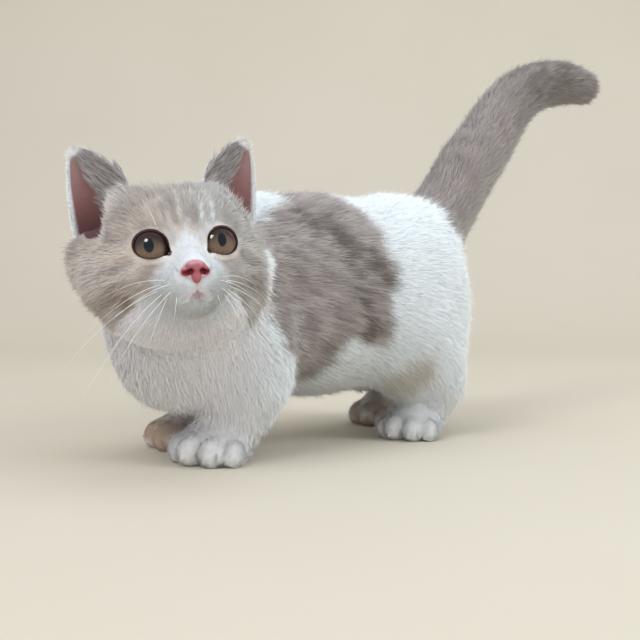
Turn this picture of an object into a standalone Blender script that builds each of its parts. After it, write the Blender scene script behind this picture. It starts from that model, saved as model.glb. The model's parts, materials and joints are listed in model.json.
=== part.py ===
"""A munchkin kitten, standing, with its head raised and turned to its left.

The kitten faces -Y, its left side is towards +X and +Z is up. The floor is z = 0.
Sizes are in millimetres and include the short coat. The body is one blended form, a field of
rounded forms that melt into each other. A skin is laid on it, made lighter and then parted
into the named pieces, with a thin gap at every cut.
"""

import math

import bmesh
import bpy
import numpy as np
from mathutils import Matrix, Vector

MM = 0.001
GAP = 0.35

# The skin is first made at this voxel size, then thinned to about this many triangles.
VOXEL = 1.4
TRIANGLES = {"body": 950, "paws": 1250, "head": 2400}
ROUGH_MARGIN = 1.0
BALL_SPACING = 4.0
BLEND_STEPS = 5
BLEND_REACH = 0.05
LONGEST_MOVE = 3.0
FLATTEST_SLOPE = 0.25

# How widely neighbouring forms melt into each other.
BODY_BLEND = 8.0
LEG_BLEND = 6.0
HEAD_BLEND = 3.2
NECK_BLEND = 4.0
WRIST_BLEND = 2.5
LID_BLEND = 1.6
TOE_BLEND = 1.2

# The head turns about its own centre. In the head's own frame the nose is towards -Y.
HEAD_CENTRE = (35.1, -74.8, 92.6)
HEAD_SCALE = 0.972
HEAD_YAW = 71.9
HEAD_RAISE = 14.0
HEAD_TILT = -3.5

SKULL = ((0, 3, 6), (33, 31, 30))
FOREHEAD = ((0, -6, 13), (23, 19, 18))
THROAT = ((0, 1, -20), (32, 24, 17))
MUZZLE = ((0, -19, -12.5), (16, 12, 11))
NOSE_BRIDGE = ((0, -17, 8, 7.5), (0, -28, -3, 6.0), (0, -33, -9.5, 4.6))
CHIN = ((0, -25.5, -24.0), (7.5, 7.5, 5.0))
# On both sides, the cheek, the back of the cheek, the crown, the cheekbone and the whisker pad:
# centre, half sizes and turn.
HEAD_SIDES = (
    (23, -1, -3, 20, 20, 19, 0),
    (28, 12, 7, 19, 17, 20, 0),
    (13, 3, 13, 20, 24, 24.5, 0),
    (16, -16.5, -8, 10, 8, 7.5, 15),
    (7.2, -29.0, -17.2, 7.8, 7.2, 5.8, 0),
)

EYE_RADIUS = 9.3
EYE_CENTRE = (14.4, -21.3, 3.5)
EYE_SPLAY = 13.0
LID_THICKNESS = 1.3
FISSURE_HALF_WIDTH = 7.6
FISSURE_HALF_HEIGHT = 6.4
FISSURE_TILT = 10.0
FISSURE_CORNER = (-9.2, -1.2)
FISSURE_DEPTHS = ((4.0, 1.0), (20.0, 1.12))
FISSURE_POINTS = 28
EYE_SEGMENTS = 18
EYE_RINGS = 11

NOSE_CENTRE = (0.0, -37.2, -11.0)
NOSE_CORNERS = (((4.0, 0, 1.6), 2.2), ((-4.0, 0, 1.6), 2.2), ((0, 0.5, -3.4), 1.9), ((0, -1.2, 1.4), 2.9))
NOSTRIL = (3.3, -2.6, -0.6)
NOSTRIL_SIZE = (1.5, 2.2, 0.9)
NOSTRIL_LEAN = -35

MOUTH_GROOVE = 0.75
MOUTH_LINES = (
    ((0, -15), (0, -19.8), (3.0, -21.8), (6.2, -24.6), (8.8, -25.8)),
    ((0, -19.8), (-3.0, -21.8), (-6.2, -24.6), (-8.8, -25.8)),
)

# The ears, in the head's frame, for the left side.
EAR_BASE = (26.0, 4.0, 19.0)
EAR_TIP_LEFT = (43.0, 6.0, 61.5)
EAR_TIP_RIGHT = (39.5, 6.5, 60.0)
EAR_INNER_WIDTH = 23.5
EAR_INNER_MOST = 16.0
EAR_INNER_CURVE = 0.58
EAR_OUTER_WIDTH = 21.0
EAR_OUTER_CURVE = 0.6
EAR_CUP_DEPTH = 10.0
EAR_CUP_CURVE = 0.75
EAR_THICKNESS = 2.6
EAR_TIP_THINNESS = 0.45
EAR_EDGE_THINNESS = 0.6
EAR_TIP_SHARE = 0.004
EAR_ACROSS = 10
EAR_FACING = (0.30, -0.95, 0.0)
EAR_OUTER_DROP = 9.0
EAR_LEVELS = (-0.3, -0.12, 0.0, 0.17, 0.34, 0.5, 0.65, 0.78, 0.88, 0.95, 0.985, 1.0)

# Where the middle of each paw stands, its side of the body and how far it turns out.
PAWS = {
    "fore_left": (1, (20.5, -44.0), 26.0),
    "fore_right": (-1, (-24.0, -33.0), 6.0),
    "hind_left": (1, (21.5, 79.0), 24.0),
    "hind_right": (-1, (-28.0, 100.0), 8.0),
}
PAW_SCALE = {"fore": 1.1, "hind": 0.98}
PAD = ((0, -1, 7.5), (15, 12.5, 8.5))
SOLE = ((0, 0, 3), (13.5, 11, 5))
# Each toe: across the paw, ahead of its middle, half width, half length, half height.
TOES = (
    (-13.0, 8.0, 4.8, 7.0, 6.2),
    (-5.2, 12.4, 6.1, 8.2, 7.0),
    (5.2, 12.4, 6.1, 8.2, 7.0),
    (13.0, 8.0, 4.8, 7.0, 6.2),
)
TOE_SINK = 1.4
TOE_FAN = 1.4

# The trunk: chest, belly, loin, breast and shoulders, then the thighs with their lean.
TRUNK = (
    ((-2, -17, 78.5), (36, 52, 48.5), 0),
    ((0, 28, 77), (40, 52, 52), 0),
    ((0, 78, 84), (37, 42, 46), 0),
    ((0, -56, 65), (32, 34, 40), 0),
    ((26, -40, 58), (13, 22, 30), 0),
    ((-26, -40, 58), (13, 22, 30), 0),
    ((24, 76, 60), (18, 32, 39), -8),
    ((-26, 82, 60), (18, 32, 39), -8),
)
NECK = ((0, -38, 94, 29), (22, -60, 84, 27))

# The tail's middle line with its half width, from its root to its tip.
TAIL_STATIONS = (
    (0, 88, 96, 14),
    (0, 106, 108, 16),
    (0, 121, 125, 17.5),
    (1, 136, 146, 17.8),
    (2, 150, 163, 17.0),
    (3, 161, 178, 15.8),
    (4, 174, 191, 14.8),
    (5, 190, 199, 13.8),
    (6, 211, 203, 12.8),
    (7, 228, 202, 10.5),
)
TAIL_STEPS = 3

# Where the pieces part.
HEAD_REACH = 52.0
HEAD_REGION_CENTRE = (0.0, -3.0, 5.5)
HEAD_REGION = 48.5
NECK_REGION = 61.0
BLOCK = 600.0
TAIL_CUTS = (
    ("tail_tip", (5, 190, 199), (0.05, 0.95, 0.30)),
    ("tail_middle", (2, 152, 165), (0.05, 0.62, 0.78)),
    ("tail_base", (0, 112, 116), (0.0, 0.62, 0.78)),
)
WRIST_HEIGHT = 17.5

SHARP_ANGLE = 40
COAT_ROUGHNESS = 0.9
EYE_ROUGHNESS = 0.08
LOOKS = {
    "head": "cream",
    "ear_left": "lilac",
    "ear_right": "lilac",
    "torso": "lilac",
    "tail_base": "lilac",
    "tail_middle": "lilac",
    "tail_tip": "lilac",
    "nose": "pink",
    "eye_left": "iris",
    "eye_right": "iris",
}
COLOURS = {
    "white": (0.86, 0.85, 0.84),
    "lilac": (0.42, 0.36, 0.34),
    "cream": (0.60, 0.52, 0.47),
    "pink": (0.62, 0.25, 0.25),
    "iris": (0.22, 0.15, 0.08),
}


def clear_scene():
    for obj in list(bpy.data.objects):
        bpy.data.objects.remove(obj, do_unlink=True)


def head_matrix():
    """From the head's own frame to the kitten's, in millimetres."""
    turn = Matrix.Rotation(math.radians(HEAD_YAW), 4, "Z")
    raise_up = Matrix.Rotation(math.radians(-HEAD_RAISE), 4, "X")
    tilt = Matrix.Rotation(math.radians(HEAD_TILT), 4, "Y")
    return Matrix.Translation(HEAD_CENTRE) @ turn @ raise_up @ tilt @ Matrix.Scale(HEAD_SCALE, 4)


# Forms. Each is an ellipsoid or a chain of tapering links, with a signed distance.


def ellipsoid(centre, radii, turn=(0, 0, 0), frame=None):
    """turn is (x, y, z) degrees about the ellipsoid's own centre."""
    rx, ry, rz = (math.radians(a) for a in turn)
    spin = Matrix.Rotation(rz, 4, "Z") @ Matrix.Rotation(ry, 4, "Y") @ Matrix.Rotation(rx, 4, "X")
    place = Matrix.Translation(centre) @ spin
    return {"place": frame @ place if frame else place, "radii": radii}


def chain(stations, frame=None):
    """stations are (x, y, z, radius) along a limb."""
    points = [Vector(s[:3]) for s in stations]
    if frame:
        points = [frame @ p for p in points]
    return {"points": points, "widths": [s[3] for s in stations]}


def distance(form, where):
    if "place" in form:
        size = form["place"].to_scale().x
        inverse = np.array(form["place"].inverted())
        local = where @ inverse[:3, :3].T + inverse[:3, 3]
        radii = np.array(form["radii"], float)
        near = np.linalg.norm(local / radii, axis=1)
        slope = np.maximum(np.linalg.norm(local / radii**2, axis=1), 1e-9)
        return size * near * (near - 1.0) / slope
    found = np.full(len(where), np.inf)
    points, widths = form["points"], form["widths"]
    for a, b, ra, rb in zip(points, points[1:], widths, widths[1:]):
        a, b = np.array(a), np.array(b)
        along = np.clip((where - a) @ (b - a) / np.dot(b - a, b - a), 0.0, 1.0)
        apart = np.linalg.norm(where - a - along[:, None] * (b - a), axis=1)
        found = np.minimum(found, apart - ra - along * (rb - ra))
    return found


def melt(distances, blend):
    """The smooth union of several distances."""
    stack = np.stack(distances)
    low = stack.min(axis=0)
    return low - blend * np.log(np.exp(-(stack - low) / blend).sum(axis=0))


def both_sides(items, frame):
    """Ellipsoids of (x, y, z, rx, ry, rz, turn z) on both sides of the head."""
    made = []
    for x, y, z, rx, ry, rz, turn in items:
        for side in (1, -1):
            made.append(ellipsoid((side * x, y, z), (rx, ry, rz), (0, 0, side * turn), frame))
    return made


def torso_forms():
    return [ellipsoid(centre, radii, (lean, 0, 0)) for centre, radii, lean in TRUNK] + [chain(NECK)]


def leg_forms(name):
    """A leg from the shoulder or hip down to its paw, as (x, y, z, radius) stations."""
    side, (x, y), out = PAWS[name]
    if name.startswith("fore"):
        return chain(
            (
                (side * 28, y + 12, 56, 18),
                (side * 29, y + 14, 38, 17),
                ((x + side * 28) / 2, y + 10, 24, 15),
                (x, y + 4, 12, 13),
            )
        )
    return chain(
        (
            (side * 24, y - 4, 58, 18),
            (side * 28, y + 4, 42, 16),
            ((x + side * 29) / 2, y + 13, 28, 14),
            (x, y + 8, 15, 12.0),
            (x, y + 2, 11, 11.5),
        )
    )


def paw_frame(name):
    side, (x, y), out = PAWS[name]
    turn = Matrix.Rotation(math.radians(side * out), 4, "Z")
    return Matrix.Translation((x, y, 0)) @ turn @ Matrix.Scale(PAW_SCALE[name[:4]], 4)


def paw_forms(name):
    frame = paw_frame(name)
    made = [ellipsoid(centre, radii, frame=frame) for centre, radii in (PAD, SOLE)]
    for across, ahead, width, length, height in TOES:
        centre = (across, -ahead, height - TOE_SINK)
        made.append(ellipsoid(centre, (width, length, height), (0, 0, across * TOE_FAN), frame))
    return made


def smooth_path(stations, steps):
    """Points on a smooth curve through rows of numbers, steps to each span."""
    rows = [np.array(s, float) for s in stations]
    ends = [2 * rows[0] - rows[1], *rows, 2 * rows[-1] - rows[-2]]
    found = []
    for a, b, c, d in zip(ends, ends[1:], ends[2:], ends[3:]):
        for t in np.arange(steps) / steps:
            cubic = (3 * b - a - 3 * c + d) * t**3
            found.append(0.5 * (2 * b + (c - a) * t + (2 * a - 5 * b + 4 * c - d) * t**2 + cubic))
    found.append(rows[-1])
    return found


def tail_forms():
    return chain(smooth_path(TAIL_STATIONS, TAIL_STEPS))


def head_forms():
    frame = head_matrix()
    made = [ellipsoid(*form, frame=frame) for form in (SKULL, FOREHEAD, THROAT, MUZZLE, CHIN)]
    made.append(chain(NOSE_BRIDGE, frame))
    made += both_sides(HEAD_SIDES, frame)
    return made


def eye_forms(grow):
    x, y, z = EYE_CENTRE
    radii = (EYE_RADIUS + grow,) * 3
    return [ellipsoid((side * x, y, z), radii, frame=head_matrix()) for side in (1, -1)]


def body_field(where):
    """Signed distance to the kitten's surface, ears apart, at the given points."""
    torso = melt([distance(f, where) for f in torso_forms()], BODY_BLEND)
    tail = distance(tail_forms(), where)
    body = melt([torso, tail], BODY_BLEND)
    for name in PAWS:
        paw = melt([distance(f, where) for f in paw_forms(name)], TOE_BLEND)
        leg = melt([distance(leg_forms(name), where), paw], WRIST_BLEND)
        body = melt([body, leg], LEG_BLEND)
    head = melt([distance(f, where) for f in head_forms()], HEAD_BLEND)
    for lid in eye_forms(LID_THICKNESS):
        head = melt([head, distance(lid, where)], LID_BLEND)
    return melt([body, head], NECK_BLEND)


def object_from(bm, name, collection):
    """A new mesh object in metres from a bmesh in millimetres, with its faces pointing out."""
    bmesh.ops.recalc_face_normals(bm, faces=bm.faces)
    if bm.calc_volume(signed=True) < 0:
        bmesh.ops.reverse_faces(bm, faces=bm.faces)
    bm.transform(Matrix.Scale(MM, 4))
    mesh = bpy.data.meshes.new(name)
    bm.to_mesh(mesh)
    bm.free()
    obj = bpy.data.objects.new(name, mesh)
    collection.objects.link(obj)
    return obj


def ball(place, radii, detail=3):
    bm = bmesh.new()
    bmesh.ops.create_icosphere(bm, subdivisions=detail, radius=1.0)
    bm.transform(place @ Matrix.Diagonal((*radii, 1.0)))
    return bm


def rough_balls(form, grow):
    """Overlapping balls that fill a form, a little larger than it."""
    if "place" in form:
        return [ball(form["place"], [r + grow for r in form["radii"]])]
    made = []
    points, widths = form["points"], form["widths"]
    for a, b, ra, rb in zip(points, points[1:], widths, widths[1:]):
        steps = max(2, int((b - a).length / BALL_SPACING))
        for k in range(steps + 1):
            t = k / steps
            radius = ra + t * (rb - ra) + grow
            made.append(ball(Matrix.Translation(a.lerp(b, t)), (radius,) * 3))
    return made


def apply_modifiers(obj):
    graph = bpy.context.evaluated_depsgraph_get()
    mesh = bpy.data.meshes.new_from_object(obj.evaluated_get(graph))
    old = obj.data
    obj.modifiers.clear()
    obj.data = mesh
    bpy.data.meshes.remove(old)


def lay_skin(collection):
    """The kitten's surface as one closed mesh, ears apart."""
    forms = torso_forms() + [tail_forms()] + head_forms() + eye_forms(LID_THICKNESS)
    for name in PAWS:
        forms += [leg_forms(name)] + paw_forms(name)
    whole = bmesh.new()
    scratch = bpy.data.meshes.new("scratch")
    for form in forms:
        for bm in rough_balls(form, ROUGH_MARGIN):
            bm.to_mesh(scratch)
            whole.from_mesh(scratch)
            bm.free()
    bpy.data.meshes.remove(scratch)
    obj = object_from(whole, "skin", collection)
    remesh = obj.modifiers.new("remesh", "REMESH")
    remesh.mode = "VOXEL"
    remesh.voxel_size = VOXEL * MM
    apply_modifiers(obj)
    settle(obj)
    return obj


def settle(obj):
    """Move every vertex onto the blended surface."""
    mesh = obj.data
    where = np.empty(len(mesh.vertices) * 3, np.float32)
    mesh.vertices.foreach_get("co", where)
    where = where.reshape(-1, 3).astype(float) / MM
    for _ in range(BLEND_STEPS):
        here = body_field(where)
        ahead = [body_field(where + BLEND_REACH * axis) for axis in np.eye(3)]
        slope = np.stack([(near - here) / BLEND_REACH for near in ahead], axis=1)
        steep = np.maximum((slope**2).sum(axis=1), FLATTEST_SLOPE)
        move = np.clip(here, -LONGEST_MOVE, LONGEST_MOVE) / steep
        where -= slope * move[:, None]
    mesh.vertices.foreach_set("co", (where * MM).astype(np.float32).ravel())
    mesh.update()


def area_of(point):
    """Which area of the kitten a point lies in."""
    if (point - Vector(HEAD_CENTRE) * MM).length < HEAD_REACH * MM:
        return "head"
    return "paws" if point.z < WRIST_HEIGHT * MM else "body"


def thin(obj, area, count):
    """Thin one area of the mesh to about count triangles."""
    bm = bmesh.new()
    bm.from_mesh(obj.data)
    bmesh.ops.triangulate(bm, faces=bm.faces)
    bm.to_mesh(obj.data)
    bm.free()
    chosen = {v.index for v in obj.data.vertices if area_of(v.co) == area}
    inside = sum(all(i in chosen for i in face.vertices) for face in obj.data.polygons)
    total = len(obj.data.polygons)
    group = obj.vertex_groups.new(name="thinned")
    group.add(list(chosen), 1.0, "REPLACE")
    decimate = obj.modifiers.new("thin", "DECIMATE")
    decimate.ratio = (total - inside + count) / total
    decimate.vertex_group = group.name
    apply_modifiers(obj)
    obj.vertex_groups.clear()


def hull(balls, grow, name, collection, detail=2):
    """The closed hull of some balls of (centre, radius), each made larger by grow."""
    bm = bmesh.new()
    for centre, radius in balls:
        round_form = ball(Matrix.Translation(centre), (radius + grow,) * 3, detail)
        for vertex in round_form.verts:
            bm.verts.new(vertex.co)
        round_form.free()
    found = bmesh.ops.convex_hull(bm, input=bm.verts)
    spare = {g for g in found["geom_interior"] + found["geom_unused"] if isinstance(g, bmesh.types.BMVert)}
    bmesh.ops.delete(bm, geom=list(spare), context="VERTS")
    return object_from(bm, name, collection)


def beyond(point, direction, grow, name, collection):
    """A large block whose near face passes through a point, square to a direction."""
    ahead = Vector(direction).normalized()
    turn = ahead.to_track_quat("Z", "Y").to_matrix().to_4x4()
    centre = Vector(point) + ahead * (BLOCK / 2 - grow)
    bm = bmesh.new()
    bmesh.ops.create_cube(bm, size=BLOCK, matrix=Matrix.Translation(centre) @ turn)
    return object_from(bm, name, collection)


def combine(obj, other, operation, solver="EXACT"):
    cut = obj.modifiers.new("cut", "BOOLEAN")
    cut.operation = operation
    cut.solver = solver
    cut.object = other
    apply_modifiers(obj)


def keep_largest(obj):
    """Keep the largest closed surface of the mesh."""
    bm = bmesh.new()
    bm.from_mesh(obj.data)
    bmesh.ops.remove_doubles(bm, verts=bm.verts, dist=1e-7)
    bmesh.ops.triangulate(bm, faces=bm.faces)
    left = set(bm.verts)
    best = set()
    while left:
        island, edge = set(), [left.pop()]
        while edge:
            vertex = edge.pop()
            island.add(vertex)
            for link in vertex.link_edges:
                other = link.other_vert(vertex)
                if other in left:
                    left.discard(other)
                    edge.append(other)
        if len(island) > len(best):
            best = island
    bmesh.ops.delete(bm, geom=[v for v in bm.verts if v not in best], context="VERTS")
    if bm.calc_volume(signed=True) < 0:
        bmesh.ops.reverse_faces(bm, faces=bm.faces)
    bm.to_mesh(obj.data)
    bm.free()


def part_off(rest, name, make_cutter, kitten, cutters, solver="EXACT"):
    """Take the region inside a cutter off the rest, leaving a thin gap, as a piece of its own."""
    piece = bpy.data.objects.new(name, rest.data.copy())
    kitten.objects.link(piece)
    inner = make_cutter(0.0, name + "_region", cutters)
    outer = make_cutter(GAP, name + "_clearance", cutters)
    combine(piece, inner, "INTERSECT", solver)
    combine(rest, outer, "DIFFERENCE", solver)
    for cutter in (inner, outer):
        bpy.data.objects.remove(cutter, do_unlink=True)
    keep_largest(piece)
    keep_largest(rest)
    return piece


def leg_region(name):
    """The balls whose hull is cut off as a leg: (centre, radius) at the shoulder or hip and the paw."""
    side, (x, y), out = PAWS[name]
    if name.startswith("fore"):
        return [((side * 31, y + 10, 38), 24), ((x, y - 4, -3), 25)]
    return [((side * 29, y + 2, 44), 32), ((x, y + 2, -3), 27)]


def part_all(rest, kitten, cutters):
    centre = head_matrix() @ Vector(HEAD_REGION_CENTRE)

    def region(balls, detail=2):
        return lambda grow, name, where: hull(balls, grow, name, where, detail)

    def plane(point, direction):
        return lambda grow, name, where: beyond(point, direction, grow, name, where)

    pieces = {"head": part_off(rest, "head", region([(centre, HEAD_REGION)], 3), kitten, cutters)}
    for name in PAWS:
        # The exact solver loses the limbs, so these cuts use the manifold one.
        limb = part_off(rest, "leg_" + name, region(leg_region(name), 2), kitten, cutters, "MANIFOLD")
        below = plane((0, 0, WRIST_HEIGHT), (0, 0, -1))
        pieces["paw_" + name] = part_off(limb, "paw_" + name, below, kitten, cutters, "MANIFOLD")
        pieces["leg_" + name] = limb
    for name, point, direction in TAIL_CUTS:
        pieces[name] = part_off(rest, name, plane(point, direction), kitten, cutters)
    pieces["neck"] = part_off(rest, "neck", region([(centre, NECK_REGION)], 3), kitten, cutters)
    rest.name = "torso"
    pieces["torso"] = rest
    return pieces


def stand_flat(obj, cutters):
    """Cut the soles flat at the floor."""
    below = beyond((0, 0, 0), (0, 0, -1), 0.0, "floor", cutters)
    combine(obj, below, "DIFFERENCE")
    bpy.data.objects.remove(below, do_unlink=True)


def eye_direction(side):
    splay = math.radians(EYE_SPLAY)
    return Vector((side * math.sin(splay), -math.cos(splay), 0))


def eye_outline(side):
    """The opening between the lids, seen from the front: round above, drawn out at its inner corner."""
    tilt = math.radians(FISSURE_TILT)
    points = []
    for k in range(FISSURE_POINTS):
        a = 2 * math.pi * k / FISSURE_POINTS
        points.append((FISSURE_HALF_WIDTH * math.cos(a), FISSURE_HALF_HEIGHT * math.sin(a)))
    points.append(FISSURE_CORNER)
    across, along = math.cos(tilt), math.sin(tilt)
    return [(side * (x * across - y * along), x * along + y * across) for x, y in points]


def add_eye(side, head, kitten, cutters):
    """An eyeball in its socket, behind the opening between the lids."""
    x, y, z = EYE_CENTRE
    frame = head_matrix() @ Matrix.Translation((side * x, y, z))
    aim = frame @ eye_direction(side).to_track_quat("Z", "Y").to_matrix().to_4x4()
    bm = bmesh.new()
    sizes = {"u_segments": EYE_SEGMENTS, "v_segments": EYE_RINGS, "matrix": aim}
    bmesh.ops.create_uvsphere(bm, radius=EYE_RADIUS, **sizes)
    eye = object_from(bm, "eye_left" if side > 0 else "eye_right", kitten)
    bm = bmesh.new()
    bmesh.ops.create_uvsphere(bm, radius=EYE_RADIUS + GAP, **sizes)
    socket = object_from(bm, "socket", cutters)
    bm = bmesh.new()
    for depth, flare in FISSURE_DEPTHS:
        for x, y in eye_outline(side):
            bm.verts.new(aim @ Vector((x * flare, y * flare, depth)))
    bmesh.ops.convex_hull(bm, input=bm.verts)
    fissure = object_from(bm, "fissure", cutters)
    for cutter in (fissure, socket):
        combine(head, cutter, "DIFFERENCE")
        bpy.data.objects.remove(cutter, do_unlink=True)
    return eye


def on_face(head, x, z):
    """The point of the face straight behind (x, z) of the head's frame."""
    frame = head_matrix()
    start = frame @ Vector((x, -70, z)) * MM
    ahead = (frame.to_3x3() @ Vector((0, 1, 0))).normalized()
    hit, place, normal, index = head.ray_cast(start, ahead)
    return place / MM


def add_mouth(head, cutters):
    """The line of the mouth: down from the nose, then out under both pads."""
    for path in MOUTH_LINES:
        points = [on_face(head, x, z) for x, z in path]
        for a, b in zip(points, points[1:]):
            groove = hull([(a, MOUTH_GROOVE), (b, MOUTH_GROOVE)], 0.0, "groove", cutters, 1)
            combine(head, groove, "DIFFERENCE")
            bpy.data.objects.remove(groove, do_unlink=True)


def add_nose(head, kitten, cutters):
    """The nose leather, with its two nostrils, in a pocket of the muzzle."""
    frame = head_matrix() @ Matrix.Translation(NOSE_CENTRE)
    balls = [(frame @ Vector(c), r) for c, r in NOSE_CORNERS]
    nose = hull(balls, 0.0, "nose", kitten)
    pocket = hull(balls, GAP, "pocket", cutters)
    combine(head, pocket, "DIFFERENCE")
    bpy.data.objects.remove(pocket, do_unlink=True)
    across, ahead, above = NOSTRIL
    for side in (1, -1):
        lean = Matrix.Rotation(math.radians(side * NOSTRIL_LEAN), 4, "Y")
        place = frame @ Matrix.Translation((side * across, ahead, above)) @ lean
        bm = ball(place, NOSTRIL_SIZE, 2)
        nostril = object_from(bm, "nostril", cutters)
        combine(nose, nostril, "DIFFERENCE")
        bpy.data.objects.remove(nostril, do_unlink=True)
    keep_largest(nose)
    return nose


def ear_mesh(side):
    """A cupped ear: rings round its back and its cup, from its root up to its tip."""
    base = Vector(EAR_BASE)
    tip = Vector(EAR_TIP_LEFT if side > 0 else EAR_TIP_RIGHT)
    up = tip - base
    height = up.length
    up.normalize()
    facing = Vector(EAR_FACING)
    facing = (facing - up * facing.dot(up)).normalized()
    across = up.cross(facing).normalized()
    if across.x < 0:
        across = -across
    count = EAR_ACROSS
    rings = []
    for t in EAR_LEVELS:
        s = max(1 - max(t, 0.0), EAR_TIP_SHARE)
        inward = min(EAR_INNER_WIDTH * s**EAR_INNER_CURVE, EAR_INNER_MOST)
        outward = EAR_OUTER_WIDTH * s**EAR_OUTER_CURVE
        cup = EAR_CUP_DEPTH * s**EAR_CUP_CURVE
        drop = EAR_OUTER_DROP * s
        rim = []
        for back in (1, 0):
            steps = range(count + 1) if back else range(count, -1, -1)
            for k in steps:
                v = 2 * k / count - 1
                half = outward if v > 0 else inward
                thick = EAR_THICKNESS * (EAR_TIP_THINNESS + (1 - EAR_TIP_THINNESS) * s)
                thick *= 1 - EAR_EDGE_THINNESS * v**4
                bow = cup * (1 - v * v) + back * thick
                low = drop * ((v + 1) / 2) ** 2
                p = base + up * (height * t - low) + across * half * v - facing * bow
                rim.append((side * p.x, p.y, p.z))
        rings.append(rim)
    bm = bmesh.new()
    made = [[bm.verts.new(p) for p in ring] for ring in rings]
    for a, b in zip(made, made[1:]):
        for i in range(len(a)):
            j = (i + 1) % len(a)
            bm.faces.new((a[i], a[j], b[j], b[i]))
    bm.faces.new(reversed(made[0]))
    bm.faces.new(made[-1])
    bmesh.ops.triangulate(bm, faces=bm.faces)
    bm.transform(head_matrix())
    return bm


def add_ear(side, below, kitten, cutters):
    """An ear that stands on the head, with its root cut to the head's shape."""
    ear = object_from(ear_mesh(side), "ear_left" if side > 0 else "ear_right", kitten)
    for piece in below:
        root = bpy.data.objects.new("root", piece.data.copy())
        cutters.objects.link(root)
        for vertex in root.data.vertices:
            vertex.co += vertex.normal * GAP * MM
        combine(ear, root, "DIFFERENCE")
        bpy.data.objects.remove(root, do_unlink=True)
    keep_largest(ear)
    return ear


def set_origin(kitten):
    """Move all pieces so that the origin is the middle of their box's bottom."""
    spots = [vertex.co for obj in kitten.objects for vertex in obj.data.vertices]
    low = Vector([min(p[k] for p in spots) for k in range(3)])
    high = Vector([max(p[k] for p in spots) for k in range(3)])
    middle = (low + high) / 2
    for obj in kitten.objects:
        obj.data.transform(Matrix.Translation((-middle.x, -middle.y, -low.z)))


def paint(obj, colour, rough):
    material = bpy.data.materials.new(obj.name)
    material.use_nodes = True
    shader = material.node_tree.nodes["Principled BSDF"]
    shader.inputs["Base Color"].default_value = (*COLOURS[colour], 1)
    shader.inputs["Roughness"].default_value = rough
    obj.data.materials.clear()
    obj.data.materials.append(material)


def main():
    clear_scene()
    kitten = bpy.data.collections.new("kitten")
    cutters = bpy.data.collections.new("cutters")
    for collection in (kitten, cutters):
        bpy.context.scene.collection.children.link(collection)
    skin = lay_skin(kitten)
    for area, count in TRIANGLES.items():
        thin(skin, area, count)
    stand_flat(skin, cutters)
    pieces = part_all(skin, kitten, cutters)
    head = pieces["head"]
    for side in (1, -1):
        add_ear(side, (head, pieces["neck"], pieces["torso"]), kitten, cutters)
    for side in (1, -1):
        add_eye(side, head, kitten, cutters)
    add_mouth(head, cutters)
    add_nose(head, kitten, cutters)
    keep_largest(head)
    set_origin(kitten)
    for obj in kitten.objects:
        rough = EYE_ROUGHNESS if obj.name.startswith("eye") else COAT_ROUGHNESS
        paint(obj, LOOKS.get(obj.name, "white"), rough)
        obj.data.shade_smooth()
        obj.data.set_sharp_from_angle(angle=math.radians(SHARP_ANGLE))


main()
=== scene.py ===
"""The look of the kitten: one skin, a coat of fine tufts, eyes, nose, lids and whiskers.

Sizes are in millimetres, in the frame that the solids were measured in, with the kitten facing
-Y and its left side towards +X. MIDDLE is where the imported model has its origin.
"""

import json
import math

import bmesh
import bpy
import numpy as np
from mathutils import Matrix, Vector
from mathutils.kdtree import KDTree

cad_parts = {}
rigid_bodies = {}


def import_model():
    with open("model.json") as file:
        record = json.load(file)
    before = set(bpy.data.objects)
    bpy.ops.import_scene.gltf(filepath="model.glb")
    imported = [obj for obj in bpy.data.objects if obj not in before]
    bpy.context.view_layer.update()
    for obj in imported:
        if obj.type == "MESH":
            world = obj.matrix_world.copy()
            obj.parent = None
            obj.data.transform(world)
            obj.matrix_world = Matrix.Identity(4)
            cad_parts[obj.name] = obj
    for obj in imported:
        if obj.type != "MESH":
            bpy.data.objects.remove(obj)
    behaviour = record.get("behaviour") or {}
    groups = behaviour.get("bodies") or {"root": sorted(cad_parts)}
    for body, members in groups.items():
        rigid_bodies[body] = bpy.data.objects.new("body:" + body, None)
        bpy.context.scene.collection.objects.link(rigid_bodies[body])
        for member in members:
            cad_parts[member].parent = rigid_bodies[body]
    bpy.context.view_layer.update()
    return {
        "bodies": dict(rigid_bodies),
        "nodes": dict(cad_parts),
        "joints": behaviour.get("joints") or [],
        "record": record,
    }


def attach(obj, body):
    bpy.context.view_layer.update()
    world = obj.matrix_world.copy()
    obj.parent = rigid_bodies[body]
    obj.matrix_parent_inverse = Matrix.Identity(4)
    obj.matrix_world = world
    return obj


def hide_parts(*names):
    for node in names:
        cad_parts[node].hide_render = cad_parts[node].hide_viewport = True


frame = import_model()

MM = 0.001
MIDDLE = np.array((13.2357, 61.1374, 0.0))
COAT_SEED = 11
WHISKER_SEED = 5
IRIS_SEED = 40
rng = np.random.default_rng(COAT_SEED)

# The forms of the body, as in the solids.
BODY_BLEND = 8.0
LEG_BLEND = 6.0
HEAD_BLEND = 3.2
NECK_BLEND = 4.0
WRIST_BLEND = 2.5
LID_BLEND = 1.6
TOE_BLEND = 1.4

FAR_AWAY = 99.0

HEAD_CENTRE = (35.1, -74.8, 92.6)
HEAD_SCALE = 0.972
HEAD_YAW = 71.9
HEAD_RAISE = 14.0
HEAD_TILT = -3.5

EYE_RADIUS = 9.3
EYE_CENTRE = (14.4, -21.3, 3.5)
EYE_SPLAY = 13.0
LID_THICKNESS = 1.3
FISSURE_HALF_WIDTH = 7.6
FISSURE_HALF_HEIGHT = 6.4
FISSURE_TILT = 10.0
NOSE_CENTRE = (0.0, -37.2, -11.0)

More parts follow.
